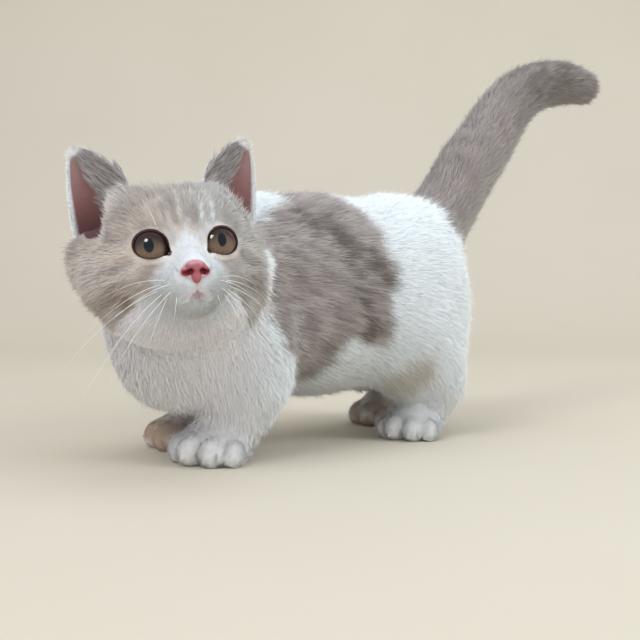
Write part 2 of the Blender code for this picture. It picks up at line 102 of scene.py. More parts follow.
EAR_BASE = (26.0, 4.0, 19.0)
EAR_TIP_LEFT = (43.0, 6.0, 61.5)
EAR_TIP_RIGHT = (39.5, 6.5, 60.0)
EAR_INNER_WIDTH = 23.5
EAR_INNER_MOST = 16.0
EAR_OUTER_WIDTH = 21.0
EAR_CUP_DEPTH = 10.0
EAR_THICKNESS = 2.6
EAR_FACING = (0.30, -0.95, 0.0)
EAR_OUTER_DROP = 9.0

# Each paw's side, where it stands, and how far it turns outwards.
PAWS = {
    "fore_left": (1, (20.5, -44.0), 26.0),
    "fore_right": (-1, (-24.0, -33.0), 6.0),
    "hind_left": (1, (21.5, 79.0), 24.0),
    "hind_right": (-1, (-28.0, 100.0), 8.0),
}
PAW_SCALE = {"fore": 1.1, "hind": 0.98}
TOE_SINK = 1.4
TOE_FAN = 1.4
# Each toe: how far across and ahead, its half width and length, and its height.
TOES = (
    (-13.0, 8.0, 4.8, 7.0, 6.2),
    (-5.2, 12.4, 6.1, 8.2, 7.0),
    (5.2, 12.4, 6.1, 8.2, 7.0),
    (13.0, 8.0, 4.8, 7.0, 6.2),
)
# The tail's middle line and its radius, from root to tip.
TAIL_STATIONS = (
    (0, 88, 96, 14),
    (0, 106, 108, 16),
    (0, 121, 125, 17.5),
    (1, 136, 146, 17.8),
    (2, 150, 163, 17.0),
    (3, 161, 178, 15.8),
    (4, 174, 191, 14.8),
    (5, 190, 199, 13.8),
    (6, 211, 203, 12.8),
    (7, 228, 202, 10.5),
)

# Colours, as linear red, green and blue.
WHITE = (0.90, 0.935, 0.955)
CHEST_LIT_WHITE = (0.98, 0.955, 0.985)
BLAZE_SHADED_WHITE = (0.68, 0.70, 0.725)
MUZZLE_SHADED_WHITE = (0.55, 0.56, 0.57)
MUZZLE_SHADE = (0.46, 0.465, 0.465)
THROAT_WHITE = (0.90, 0.875, 0.905)
LILAC = (0.41, 0.355, 0.34)
LILAC_DARK = (0.165, 0.135, 0.12)
PALE_LILAC = (0.60, 0.54, 0.51)
HEAD_FUR = (0.45, 0.385, 0.345)
HEAD_LIGHT = (0.70, 0.635, 0.59)
HEAD_DARK = (0.33, 0.275, 0.25)
HEAD_GREY = (0.43, 0.42, 0.43)
CREAM = (0.74, 0.62, 0.52)
TAN_AND_SHADE = (0.60, 0.42, 0.28)
HOCK_SHADOW = (0.52, 0.43, 0.33)
TOE_CREASE_SHADOW = (0.30, 0.26, 0.24)
PAW_WHITE = (0.93, 0.925, 0.905)
GINGER = (0.50, 0.36, 0.265)
EAR_ROSE = (0.235, 0.105, 0.10)
EAR_HOLLOW_SHADE = (0.085, 0.018, 0.021)
EAR_TUFT = (0.88, 0.85, 0.83)
LIP = (0.20, 0.055, 0.06)
LOWER_LIP = (0.27, 0.15, 0.15)
LIP_EDGE = (0.42, 0.27, 0.27)
MAROON = (0.050, 0.020, 0.018)
WHITE_SHADE = (0.84, 0.845, 0.855)
HEAD_FUR_LEFT = (0.46, 0.435, 0.41)
LOWER_CHEEK_SHADOW = (0.27, 0.20, 0.165)
CHEEK_SPOT = (0.14, 0.11, 0.10)
LID_SKIN = (0.74, 0.67, 0.63)
NOSE_EDGE = (0.55, 0.33, 0.34)
NOSE_LOW = (0.38, 0.115, 0.135)
NOSE_TOP = (0.50, 0.27, 0.305)
NOSTRIL_RIM = (0.26, 0.035, 0.045)
NOSTRIL_SHADOW = (0.05, 0.004, 0.006)
IRIS_LID_SHADOW = (0.030, 0.014, 0.012)
IRIS_LOW = (0.165, 0.108, 0.074)
IRIS_INNER = (0.105, 0.088, 0.058)
IRIS_RIM = (0.020, 0.008, 0.007)
PUPIL = (0.003, 0.004, 0.010)
LID_RIM = (0.060, 0.028, 0.026)
LID_CORNER = (0.20, 0.07, 0.06)
TEAR_PINK = (0.25, 0.095, 0.085)
EAR_UPPER_CUP = (0.36, 0.25, 0.235)
EAR_POCKET = (0.40, 0.24, 0.22)
EAR_TUFT_DARK = (0.17, 0.13, 0.125)
WHISKER_WHITE = (0.93, 0.92, 0.90)


def unit(v):
    return v / np.maximum(np.linalg.norm(v, axis=-1, keepdims=True), 1e-9)


def smooth(t):
    t = np.clip(t, 0.0, 1.0)
    return t * t * (3 - 2 * t)


def mix(a, b, share):
    """Colours a and b mixed, with the share of b at each place."""
    share = np.asarray(share)[..., None]
    return np.asarray(a) * (1 - share) + np.asarray(b) * share


def ripple(where, size, seed):
    """A smooth uneven field between about -1 and 1, with waves of about the given size."""
    draw = np.random.default_rng(seed)
    total = np.zeros(len(where))
    for _ in range(8):
        wave = unit(draw.normal(size=3)) * 2 * math.pi / (size * draw.uniform(0.6, 1.7))
        total += np.sin(where @ wave + draw.uniform(0, 2 * math.pi))
    return total / 3.0


# The forms and the field they make.


def head_matrix():
    turn = Matrix.Rotation(math.radians(HEAD_YAW), 4, "Z")
    raise_up = Matrix.Rotation(math.radians(-HEAD_RAISE), 4, "X")
    tilt = Matrix.Rotation(math.radians(HEAD_TILT), 4, "Y")
    return Matrix.Translation(HEAD_CENTRE) @ turn @ raise_up @ tilt @ Matrix.Scale(HEAD_SCALE, 4)


HEAD = head_matrix()
HEAD_TURN = np.array(HEAD.to_3x3().normalized())


def to_head(where):
    inverse = np.array(HEAD.inverted())
    return where @ inverse[:3, :3].T + inverse[:3, 3]


def from_head(local):
    there = np.array(HEAD)
    return np.asarray(local, float) @ there[:3, :3].T + there[:3, 3]


def ellipsoid(centre, radii, turn=(0, 0, 0), frame=None):
    rx, ry, rz = (math.radians(a) for a in turn)
    spin = Matrix.Rotation(rz, 4, "Z") @ Matrix.Rotation(ry, 4, "Y") @ Matrix.Rotation(rx, 4, "X")
    place = Matrix.Translation(centre) @ spin
    return {"place": frame @ place if frame else place, "radii": radii}


def chain(stations, frame=None):
    points = [Vector(s[:3]) for s in stations]
    if frame:
        points = [frame @ p for p in points]
    return {"points": points, "widths": [s[3] for s in stations]}


def distance(form, where):
    if "place" in form:
        size = form["place"].to_scale().x
        inverse = np.array(form["place"].inverted())
        local = where @ inverse[:3, :3].T + inverse[:3, 3]
        radii = np.array(form["radii"], float)
        near = np.linalg.norm(local / radii, axis=1)
        slope = np.maximum(np.linalg.norm(local / radii**2, axis=1), 1e-9)
        return size * near * (near - 1.0) / slope
    found = np.full(len(where), np.inf)
    points, widths = form["points"], form["widths"]
    for a, b, ra, rb in zip(points, points[1:], widths, widths[1:]):
        a, b = np.array(a), np.array(b)
        along = np.clip((where - a) @ (b - a) / np.dot(b - a, b - a), 0.0, 1.0)
        apart = np.linalg.norm(where - a - along[:, None] * (b - a), axis=1)
        found = np.minimum(found, apart - ra - along * (rb - ra))
    return found


def melt(distances, blend):
    stack = np.stack(distances)
    low = stack.min(axis=0)
    return low - blend * np.log(np.exp(-(stack - low) / blend).sum(axis=0))


def carve(body, hole, blend):
    """The body with a soft-edged hollow taken out."""
    return -melt([-body, hole], blend)


def both_sides(items, frame):
    made = []
    for x, y, z, rx, ry, rz, turn in items:
        for side in (1, -1):
            made.append(ellipsoid((side * x, y, z), (rx, ry, rz), (0, 0, side * turn), frame))
    return made


def torso_forms():
    return [
        ellipsoid((-2, -17, 78.5), (36, 52, 48.5)),
        ellipsoid((0, 28, 77), (40, 52, 52)),
        ellipsoid((0, 78, 84), (37, 42, 46)),
        ellipsoid((0, -56, 65), (32, 34, 40)),
        chain(((0, -38, 94, 29), (22, -60, 84, 27))),
        ellipsoid((26, -40, 58), (13, 22, 30)),
        ellipsoid((-26, -40, 58), (13, 22, 30)),
        ellipsoid((24, 76, 60), (18, 32, 39), (-8, 0, 0)),
        ellipsoid((-26, 82, 60), (18, 32, 39), (-8, 0, 0)),
    ]


def leg_forms(name):
    side, (x, y), _ = PAWS[name]
    if name.startswith("fore"):
        return chain(
            (
                (side * 28, y + 12, 56, 18),
                (side * 29, y + 14, 38, 17),
                ((x + side * 28) / 2, y + 10, 24, 15),
                (x, y + 4, 12, 13),
            )
        )
    return chain(
        (
            (side * 24, y - 4, 58, 18),
            (side * 28, y + 4, 42, 16),
            ((x + side * 29) / 2, y + 13, 28, 14),
            (x, y + 8, 15, 12.0),
            (x, y + 2, 11, 11.5),
        )
    )


def paw_frame(name):
    side, (x, y), out = PAWS[name]
    turn = Matrix.Rotation(math.radians(side * out), 4, "Z")
    return Matrix.Translation((x, y, 0)) @ turn @ Matrix.Scale(PAW_SCALE[name[:4]], 4)


def paw_forms(name):
    frame = paw_frame(name)
    made = [
        ellipsoid((0, -1, 7.5), (15, 12.5, 8.5), frame=frame),
        ellipsoid((0, 0, 3), (13.5, 11, 5), frame=frame),
    ]
    for across, ahead, width, length, height in TOES:
        spot = (across, -ahead, height - TOE_SINK)
        made.append(ellipsoid(spot, (width, length, height), (0, 0, across * TOE_FAN), frame))
    return made


def smooth_path(stations, steps):
    rows = [np.array(s, float) for s in stations]
    ends = [2 * rows[0] - rows[1], *rows, 2 * rows[-1] - rows[-2]]
    found = []
    for a, b, c, d in zip(ends, ends[1:], ends[2:], ends[3:]):
        for t in np.arange(steps) / steps:
            cubic = (3 * b - a - 3 * c + d) * t**3
            found.append(0.5 * (2 * b + (c - a) * t + (2 * a - 5 * b + 4 * c - d) * t**2 + cubic))
    found.append(rows[-1])
    return found


TAIL_PATH = smooth_path(TAIL_STATIONS, 3)


def tail_forms():
    return chain(TAIL_PATH)


def head_forms():
    made = [
        ellipsoid((0, 3, 6), (33, 31, 30), frame=HEAD),
        ellipsoid((0, -6, 13), (23, 19, 18), frame=HEAD),
        ellipsoid((0, 1, -20), (32, 24, 17), frame=HEAD),
        ellipsoid((0, -19, -12.5), (16, 12, 11), frame=HEAD),
        chain(((0, -17, 8, 7.5), (0, -28, -3, 6.0), (0, -33, -9.5, 4.6)), HEAD),
        ellipsoid((0, -25.5, -24.0), (7.5, 7.5, 5.0), frame=HEAD),
    ]
    made += both_sides(
        (
            (23, -1, -3, 20, 20, 19, 0),
            (28, 12, 7, 19, 17, 20, 0),
            (13, 3, 13, 20, 24, 24.5, 0),
            (16, -16.5, -8, 10, 8, 7.5, 15),
            (7.2, -29.0, -17.2, 7.8, 7.2, 5.8, 0),
        ),
        HEAD,
    )
    return made


def eye_forms(grow):
    x, y, z = EYE_CENTRE
    return [ellipsoid((side * x, y, z), (EYE_RADIUS + grow,) * 3, frame=HEAD) for side in (1, -1)]


TORSO, TAIL, HEAD_FORMS, LIDS = torso_forms(), tail_forms(), head_forms(), eye_forms(LID_THICKNESS)
LEGS = {name: leg_forms(name) for name in PAWS}
FEET = {name: paw_forms(name) for name in PAWS}
GROUPS = ["torso", "tail", "head"] + ["leg_" + n for n in PAWS] + ["paw_" + n for n in PAWS]


def group_distances(where):
    """Signed distance to each group of forms, by name."""
    near = {
        "torso": melt([distance(f, where) for f in TORSO], BODY_BLEND),
        "tail": distance(TAIL, where),
        "head": melt([distance(f, where) for f in HEAD_FORMS], HEAD_BLEND),
    }
    for lid in LIDS:
        near["head"] = melt([near["head"], distance(lid, where)], LID_BLEND)
    for name in PAWS:
        near["leg_" + name] = distance(LEGS[name], where)
        near["paw_" + name] = melt([distance(f, where) for f in FEET[name]], TOE_BLEND)
    return near


def envelope(near):
    """Signed distance to the outside of the coat, from the distances to the groups."""
    body = melt([near["torso"], near["tail"]], BODY_BLEND)
    for name in PAWS:
        leg = melt([near["leg_" + name], near["paw_" + name]], WRIST_BLEND)
        body = melt([body, leg], LEG_BLEND)
    return melt([body, near["head"]], NECK_BLEND)


def shares(near, soft=5.0):
    """How much each group has of a place, one row each in the order of GROUPS."""
    stack = np.stack([near[g] for g in GROUPS])
    weight = np.exp(-(stack - stack.min(axis=0)) / soft)
    return weight / weight.sum(axis=0)


FACE_MIDDLE = np.array((0.0, -36.0, -6.0))


def face_gap(where):
    """How far a place is from the middle of the face, in the head's own millimetres."""
    return np.linalg.norm(to_head(where) - FACE_MIDDLE, axis=1)


def by_group(share, torso, tail, head, leg, paw):
    table = [torso, tail, head] + [leg] * 4 + [paw] * 4
    return sum(row * value for row, value in zip(share, table))


def chest_of(where):
    return smooth((-25 - where[:, 1]) / 30) * smooth((104 - where[:, 2]) / 30)


def coat_depth(where, share):
    """How deep the skin lies below the outside of the coat."""
    head = 0.7 + 2.0 * smooth((face_gap(where) - 13) / 36)
    return by_group(share, 3.2 + 0.8 * chest_of(where), 2.9, head, 2.1, 0.9)


def coat_length(where, share):
    gap = face_gap(where)
    x, y, z = to_head(where).T
    ruff = smooth((np.abs(x) - 25) / 8) * smooth((-6 - z) / 8)
    head = 1.6 + 4.6 * smooth((gap - 14) / 38) + 2.6 * ruff
    fringe = smooth((50 - where[:, 2]) / 14) * smooth((-5 - where[:, 1]) / 12)
    return by_group(share, 6.2 - 0.4 * chest_of(where) + 3.4 * fringe, 6.9, head, 5.0, 2.7)


def skin_level(where):
    near = group_distances(where)
    level = envelope(near) + coat_depth(where, shares(near))
    return carve(level, ear_hollow_gap(where), 0.5)


def settle(where, level, steps=5, most=3.0):
    """Move points onto the surface where level is zero."""
    where = where.copy()
    reach = 0.05
    for _ in range(steps):
        here = level(where)
        slope = np.stack([(level(where + reach * axis) - here) / reach for axis in np.eye(3)], axis=1)
        steep = np.maximum((slope**2).sum(axis=1), 0.25)
        where -= slope * (np.clip(here, -most, most) / steep)[:, None]
    return where


# Meshes.


def placed(name, data):
    """An object at the origin that shows some data, linked to the scene."""
    obj = bpy.data.objects.new(name, data)
    bpy.context.scene.collection.objects.link(obj)
    return obj


def finished(obj, material, slot, *replaced):
    """A piece with its material, tied to the kitten's one body; the slot of the record that it is given is
    not used.
    """
    obj.data.materials.clear()
    obj.data.materials.append(material)
    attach(obj, "root")
    if replaced:
        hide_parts(*replaced)


def mesh_object(name, points, rows, uvs):
    """A mesh object from points in millimetres, arrays of faces of one size each, and a map."""
    mesh = bpy.data.meshes.new(name)
    mesh.vertices.add(len(points))
    mesh.vertices.foreach_set("co", ((points - MIDDLE) * MM).astype(np.float32).ravel())
    corners = np.concatenate([r.ravel() for r in rows]).astype(np.int32)
    sizes = np.concatenate([np.full(len(r), r.shape[1]) for r in rows])
    mesh.loops.add(len(corners))
    mesh.loops.foreach_set("vertex_index", corners)
    mesh.polygons.add(len(sizes))
    starts = np.concatenate(([0], np.cumsum(sizes)[:-1])).astype(np.int32)
    mesh.polygons.foreach_set("loop_start", starts)
    mesh.update(calc_edges=True)
    layer = mesh.uv_layers.new(name="OFBake")
    layer.data.foreach_set("uv", uvs[corners].astype(np.float32).ravel())
    mesh.shade_smooth()
    return placed(name, mesh)


def points_of(obj):
    where = np.empty(len(obj.data.vertices) * 3, np.float32)
    obj.data.vertices.foreach_get("co", where)
    return where.reshape(-1, 3).astype(float) / MM + MIDDLE


def set_points(obj, where):
    obj.data.vertices.foreach_set("co", ((where - MIDDLE) * MM).astype(np.float32).ravel())
    obj.data.update()


def paint_points(obj, colours):
    """The colours of an object's points, which its material reads."""
    layer = obj.data.color_attributes.new("coat", "FLOAT_COLOR", "POINT")
    filled = np.concatenate([np.clip(colours, 0, 1), np.ones((len(colours), 1))], axis=1)
    layer.data.foreach_set("color", filled.astype(np.float32).ravel())


def apply_modifiers(obj):
    graph = bpy.context.evaluated_depsgraph_get()
    mesh = bpy.data.meshes.new_from_object(obj.evaluated_get(graph))
    old = obj.data
    obj.modifiers.clear()
    obj.data = mesh
    bpy.data.meshes.remove(old)


def combine(obj, other, operation):
    cut = obj.modifiers.new("cut", "BOOLEAN")
    cut.operation = operation
    cut.solver = "MANIFOLD"
    cut.object = other
    apply_modifiers(obj)
    bpy.data.objects.remove(other, do_unlink=True)


def object_from(bm, name):
    """A shape in millimetres as an object in metres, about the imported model's origin."""
    bmesh.ops.recalc_face_normals(bm, faces=bm.faces)
    bm.transform(Matrix.Scale(MM, 4) @ Matrix.Translation(-Vector(MIDDLE)))
    mesh = bpy.data.meshes.new(name)
    bm.to_mesh(mesh)
    bm.free()
    return placed(name, mesh)


def face_outward(obj):
    bm = bmesh.new()
    bm.from_mesh(obj.data)
    bmesh.ops.recalc_face_normals(bm, faces=bm.faces)
    if bm.calc_volume(signed=True) < 0:
        bmesh.ops.reverse_faces(bm, faces=bm.faces)
    bm.to_mesh(obj.data)
    bm.free()


def tree_of(points):
    """A tree that finds the nearest of some points."""
    tree = KDTree(len(points))
    for k, p in enumerate(points):
        tree.insert(p, k)
    tree.balance()
    return tree


BALL_STEP = 4.0
BALL_CUTS = 3


def remeshed_balls(name, forms, grow, voxel):
    """Overlapping balls that fill some forms, as one closed mesh of small squares."""
    whole = bmesh.new()
    for form in forms:
        if "place" in form:
            balls = [form["place"] @ Matrix.Diagonal((*[r + grow for r in form["radii"]], 1.0))]
        else:
            balls = []
            points, widths = form["points"], form["widths"]
            for a, b, ra, rb in zip(points, points[1:], widths, widths[1:]):
                steps = max(2, int((b - a).length / BALL_STEP))
                for k in range(steps + 1):
                    t = k / steps
                    radius = ra + t * (rb - ra) + grow
                    balls.append(Matrix.Translation(a.lerp(b, t)) @ Matrix.Scale(radius, 4))
        for place in balls:
            bmesh.ops.create_icosphere(whole, subdivisions=BALL_CUTS, radius=1.0, matrix=place)
    obj = object_from(whole, name)
    remesh = obj.modifiers.new("remesh", "REMESH")
    remesh.mode = "VOXEL"
    remesh.voxel_size = voxel * MM
    apply_modifiers(obj)
    return obj


# The face's openings.

# The hollow that leads down from the cup of each ear into the head.
EAR_HOLLOWS = [
    chain(((35.5, 6, 29, 9.0), (36.0, 0.5, 23, 4.5)), HEAD),
    chain(((-35.5, 6, 29, 9.5), (-35.9, -0.5, 22, 6.3), (-35.0, -9.2, 14.2, 1.5)), HEAD),
]
# Where the front of each ear grows out of the forehead.
EAR_FRONT_LINE = ((33.5, -9.5, 15.5), (31.5, -8.5, 21), (28.5, -7, 27), (24, -5, 31.5), (19, -3, 34))
EAR_FRONTS = [chain([(side * x, y, z, 0.0) for x, y, z in EAR_FRONT_LINE], HEAD) for side in (1, -1)]


def ear_hollow_gap(where):
    """How far a place is outside the hollows that lead down from the cups of the ears."""
    return np.minimum(distance(EAR_HOLLOWS[0], where), distance(EAR_HOLLOWS[1], where))


def ear_edge(where):
    """How much a place belongs to the fringe of longer hairs before each ear."""
    apart = np.minimum(distance(EAR_FRONTS[0], where), distance(EAR_FRONTS[1], where))
    return smooth(1.4 - apart / 4.5)


def on_face(x, z):
    """Places of the coat's outside straight behind (x, z) of the head's frame."""
    low, high = -60.0, 0.0
    for _ in range(18):
        middle = (low + high) / 2
        there = from_head(np.array([[x, middle, z]]))
        if envelope(group_distances(there))[0] > 0:
            low = middle
        else:
            high = middle
    return (x, (low + high) / 2, z)


MOUTH_LINES = (
    ((0, -15.0), (0, -18.4), (1.2, -19.1), (2.6, -20.5), (3.8, -22.0), (4.9, -23.3)),
    ((0, -18.4), (-1.2, -19.1), (-2.8, -20.4), (-4.6, -22.0), (-6.9, -23.6)),
)
MOUTH = [chain([(*on_face(x, z), 0.0) for x, z in line], HEAD) for line in MOUTH_LINES]


def mouth_gap(where):
    """How far a place is from the line of the mouth."""
    return np.minimum(distance(MOUTH[0], where), distance(MOUTH[1], where))


def eye_frame(side):
    x, y, z = EYE_CENTRE
    splay = math.radians(EYE_SPLAY)
    ahead = Vector((side * math.sin(splay), -math.cos(splay), 0))
    return HEAD @ Matrix.Translation((side * x, y, z)) @ ahead.to_track_quat("Z", "Y").to_matrix().to_4x4()


def turned(x, y, degrees):
    """Flat points turned about the origin."""
    a = math.radians(degrees)
    return np.stack([x * math.cos(a) - y * math.sin(a), x * math.sin(a) + y * math.cos(a)], axis=1)


def eye_outline(count, grow=0.0):
    """The opening between the lids of the left eye, from the front, drawn out at its inner corner."""
    a = 2 * math.pi * np.arange(count) / count
    x = (FISSURE_HALF_WIDTH + grow) * np.cos(a)
    y = (FISSURE_HALF_HEIGHT + grow) * np.sin(a)
    inner = np.exp(-(((a - math.pi * 1.12) / 0.30) ** 2))
    x -= 1.6 * inner
    y -= 0.9 * inner
    return turned(x, y, FISSURE_TILT)


def eye_local(where, side):
    inverse = np.array(eye_frame(side).inverted())
    local = where @ inverse[:3, :3].T + inverse[:3, 3]
    return local * (side, 1, 1)


def lid_gap(where):
    """How far outside an eye's opening a place is, about, with a large number behind the head's face."""
    found = np.full(len(where), FAR_AWAY)
    for side in (1, -1):
        local = eye_local(where, side)
        x, y = turned(local[:, 0], local[:, 1], -FISSURE_TILT).T
        near = np.hypot(x / FISSURE_HALF_WIDTH, y / FISSURE_HALF_HEIGHT)
        gap = (near - 1) * FISSURE_HALF_HEIGHT
        corner = np.hypot(x + FISSURE_HALF_WIDTH + 0.4, y + 3.2) - 1.1
        found = np.minimum(found, np.where(local[:, 2] > 0, np.minimum(gap, corner), FAR_AWAY))
    return found


def nose_forms():
    frame = HEAD @ Matrix.Translation(NOSE_CENTRE)
    made = [ellipsoid((0, -0.6, 1.6), (4.6, 3.2, 2.9), frame=frame)]
    made.append(ellipsoid((0, 0.2, -2.6), (2.3, 2.2, 3.0), frame=frame))
    for side in (1, -1):
        made.append(ellipsoid((side * 4.0, 0.5, -0.2), (2.3, 2.4, 2.1), (0, side * 20, 0), frame))
    return made


def nostril_forms():
    frame = HEAD @ Matrix.Translation(NOSE_CENTRE)
    made = []
    for side in (1, -1):
        made.append(ellipsoid((side * 2.9, -2.4, -0.9), (1.35, 2.0, 0.95), (0, side * 25, 0), frame))
        made.append(ellipsoid((side * 4.7, -1.9, -0.9), (1.6, 1.2, 0.5), (0, side * -8, 0), frame))
    return made


NOSE, NOSTRILS = nose_forms(), nostril_forms()


def nose_level(where):
    body = melt([distance(f, where) for f in NOSE], 0.5)
    hole = melt([distance(f, where) for f in NOSTRILS], 0.3)
    return carve(body, hole, 0.12)


def nose_gap(where):
    return melt([distance(f, where) for f in NOSE], 0.5)


# The skin.

SKIN_VOXEL = 1.35
SKIN_SHRINK = -1.6
# How far from the middle of the face the skin has finer faces, and where it is evened out.
FINE_FACE = 27
EVEN_FACE = 34
# Rounds of evening out, each with the surface that the points then go back to.
EVENING = 6, 3, 2, 2
SOCKET_PLAY = 0.12
# The cutter for the opening between the lids: its depths, and how much wider it is there.
FISSURE_ENDS = ((3.0, 1.0), (20.0, 1.12))


def face_level(where):
    """The skin with the line of the mouth."""
    return carve(skin_level(where), mouth_gap(where) - 0.8, 0.25)


def eased(obj, chosen, rounds):
    """The points of a mesh after some rounds of evening out the chosen ones."""
    bm = bmesh.new()
    bm.from_mesh(obj.data)
    bm.verts.ensure_lookup_table()
    some = [bm.verts[i] for i in np.flatnonzero(chosen)]
    for _ in range(rounds):
        bmesh.ops.smooth_vert(bm, verts=some, factor=0.5, use_axis_x=True, use_axis_y=True, use_axis_z=True)
    where = np.array([v.co for v in bm.verts]) / MM + MIDDLE
    bm.free()
    return where


def make_skin():
    """One closed skin under the coat, with finer faces on the face, and sockets for the eyes."""
    forms = TORSO + [TAIL] + HEAD_FORMS + LIDS + [LEGS[n] for n in PAWS]
    forms += [f for n in PAWS for f in FEET[n]]
    skin = remeshed_balls("skin", forms, SKIN_SHRINK, SKIN_VOXEL)
    bm = bmesh.new()
    bm.from_mesh(skin.data)
    spots = np.array([f.calc_center_median() for f in bm.faces]) / MM + MIDDLE
    close = face_gap(spots) < FINE_FACE
    bm.faces.ensure_lookup_table()
    edges = {e for i in np.flatnonzero(close) for e in bm.faces[i].edges}
    bmesh.ops.subdivide_edges(bm, edges=list(edges), cuts=1, use_grid_fill=True)
    bmesh.ops.triangulate(bm, faces=bm.faces)
    bm.to_mesh(skin.data)
    bm.free()
    where = settle(points_of(skin), skin_level, 4)
    close = face_gap(where) < EVEN_FACE
    for level, rounds in zip((skin_level, skin_level, face_level, face_level), EVENING):
        set_points(skin, where)
        where[close] = eased(skin, close, rounds)[close]
        where[close] = settle(where[close], level, 3, 1.0)
    where[:, 2] = np.maximum(where[:, 2], 0.0)
    set_points(skin, where)
    for side in (1, -1):
        aim = eye_frame(side)
        bm = bmesh.new()
        room = EYE_RADIUS + SOCKET_PLAY
        bmesh.ops.create_uvsphere(bm, u_segments=48, v_segments=32, radius=room, matrix=aim)
        socket = object_from(bm, "socket")
        bm = bmesh.new()
        for depth, flare in FISSURE_ENDS:
            for x, y in eye_outline(60):
                bm.verts.new(aim @ Vector((side * x * flare, y * flare, depth)))
        bmesh.ops.convex_hull(bm, input=bm.verts)
        combine(skin, object_from(bm, "fissure"), "DIFFERENCE")
        combine(skin, socket, "DIFFERENCE")
    return skin


# Markings. Body patches are outlines seen from the side, as (y, z).

SADDLE = (
    (-46, 104), (-38, 88), (-33, 76), (-28, 62), (-16, 49), (-2, 38), (9, 37), (14, 50), (22, 57),
    (36, 54), (44, 50), (46, 62), (43, 74), (47, 84), (47.5, 95), (44, 105), (40, 115), (35, 126),
    (24, 140), (-2, 140), (-5, 124), (-20, 117), (-34, 114),
)
WITHERS = ((4, 131), (1, 126.5), (-4, 122.5), (-14, 119.5), (-30, 117.5), (-60, 116), (-60, 146), (4, 146))
DARK_BAND = ((-2, 116), (14, 110), (26, 100), (38, 92), (45, 84))
DARK_FLANK = ((22, 96), (24, 80), (28, 68), (34, 60))


def line_gap(line, a, b):
    """Distance from the flat points (a, b) to a line of points."""
    apart = np.full(len(a), np.inf)
    for (a0, b0), (a1, b1) in zip(line, line[1:]):
        da, db = a1 - a0, b1 - b0
        t = np.clip(((a - a0) * da + (b - b0) * db) / (da * da + db * db), 0, 1)
        apart = np.minimum(apart, np.hypot(a - a0 - t * da, b - b0 - t * db))
    return apart


def outline_gap(outline, a, b):
    """Signed distance from the flat points (a, b) to a closed outline, less than zero inside."""
    closed = outline + outline[:1]
    apart = line_gap(closed, a, b)
    inside = np.zeros(len(a), bool)
    for (a0, b0), (a1, b1) in zip(closed, closed[1:]):
        crosses = (b0 > b) != (b1 > b)
        inside ^= crosses & (a < a0 + (b - b0) / ((b1 - b0) or 1e-9) * (a1 - a0))
    return np.where(inside, -apart, apart)


BLAZE_LINE = (
    (-0.2, -30, 13, 0.4), (-0.5, -32, 7, 2.2), (-0.8, -34, 1.5, 5.0), (0, -33, -3, 9.0),
    (0, -32, -9, 12.5), (0, -30, -17, 16.5), (0, -26, -25, 18.0), (3, -14, -36, 24.0),
)
BLAZE = chain(BLAZE_LINE, HEAD)
# Strokes on the head's fur, each with its half width, its colour and how strong it is; one of them is
# painted shadow under the right cheek.
STROKES = (
    (((-12.5, -26.2, 17.6, 0), (-10.8, -29.9, 10.0, 0)), 1.3, HEAD_DARK, 0.85),
    (((-22.5, -26.5, 4.3, 0), (-28.1, -21.6, 3.4, 0), (-34.0, -18.0, 1.6, 0)), 1.9, GINGER, 0.9),
    (((-20.0, -27.0, 10.5, 0), (-27.0, -21.6, 9.5, 0), (-36.0, -15.0, 6.0, 0)), 1.8, HEAD_LIGHT, 0.6),
    (((-36.6, -15.6, -5.0, 0), (-40.6, -10.2, -7.3, 0), (-42.4, -4.0, -10.5, 0)), 2.4, HEAD_DARK, 0.9),
    # Painted shadow along the lower right cheek, over the cheek's own lilac.
    (((-33.5, -17.0, -12.0, 0), (-29.5, -16.7, -16.0, 0), (-25.5, -16.4, -18.0, 0)), 3.4, LOWER_CHEEK_SHADOW, 0.9),
    (((-40.3, -2.3, -13.4, 0), (-33.0, -10.0, -19.0, 0)), 3.0, HEAD_DARK, 0.55),
    (((-18.0, -27.0, -9.0, 0), (-26.0, -23.0, -12.5, 0), (-33.0, -17.0, -18.0, 0)), 1.5, HEAD_DARK, 0.45),
    (((-21.0, -26.0, -5.0, 0), (-30.0, -20.0, -6.5, 0), (-37.0, -12.0, -11.0, 0)), 2.3, HEAD_LIGHT, 0.6),
    (((18.6, -27.8, -5.2, 0), (21.8, -26.4, -6.2, 0)), 0.9, CHEEK_SPOT, 0.9),
    (((21.5, -26.0, -8.2, 0), (27.5, -22.0, -9.6, 0)), 1.3, HEAD_DARK, 0.5),
    (((27.0, -24.0, 4.4, 0), (33.0, -17.0, 1.6, 0)), 1.6, GINGER, 0.55),
    (((-7.2, -31.0, 8.6, 0), (-8.2, -30.5, 4.4, 0)), 3.0, HEAD_GREY, 0.75),
    (((6.6, -30.0, 10.6, 0), (9.0, -30.6, 6.4, 0)), 2.7, HEAD_GREY, 0.75),
    (((-7.8, -27.5, 13.5, 0), (-9.0, -22.0, 25.0, 0)), 1.2, HEAD_DARK, 0.5),
    (((-3.6, -28.5, 13.0, 0), (-4.4, -22.0, 26.0, 0)), 1.3, HEAD_DARK, 0.55),
    (((-1.4, -28.5, 14.5, 0), (-1.2, -22.0, 26.0, 0)), 0.9, HEAD_LIGHT, 0.6),
    (((1.2, -28.5, 15.0, 0), (1.4, -22.0, 27.0, 0)), 1.1, HEAD_DARK, 0.5),
    (((4.8, -28.0, 13.0, 0), (5.6, -22.0, 26.0, 0)), 1.2, HEAD_DARK, 0.5),
    (((8.0, -27.5, 14.0, 0), (8.8, -22.0, 22.0, 0)), 1.4, WHITE, 0.55),
    (((12.6, -26.0, 14.0, 0), (13.6, -22.0, 21.0, 0)), 1.3, WHITE, 0.5),
    (((15.4, -26.0, 15.0, 0), (17.4, -19.0, 25.0, 0)), 1.3, HEAD_DARK, 0.45),
    (((-16.5, -23.0, 18.0, 0), (-19.5, -17.0, 26.0, 0)), 1.5, HEAD_DARK, 0.4),
)
STROKE_CHAINS = [chain(stroke[0]) for stroke in STROKES]
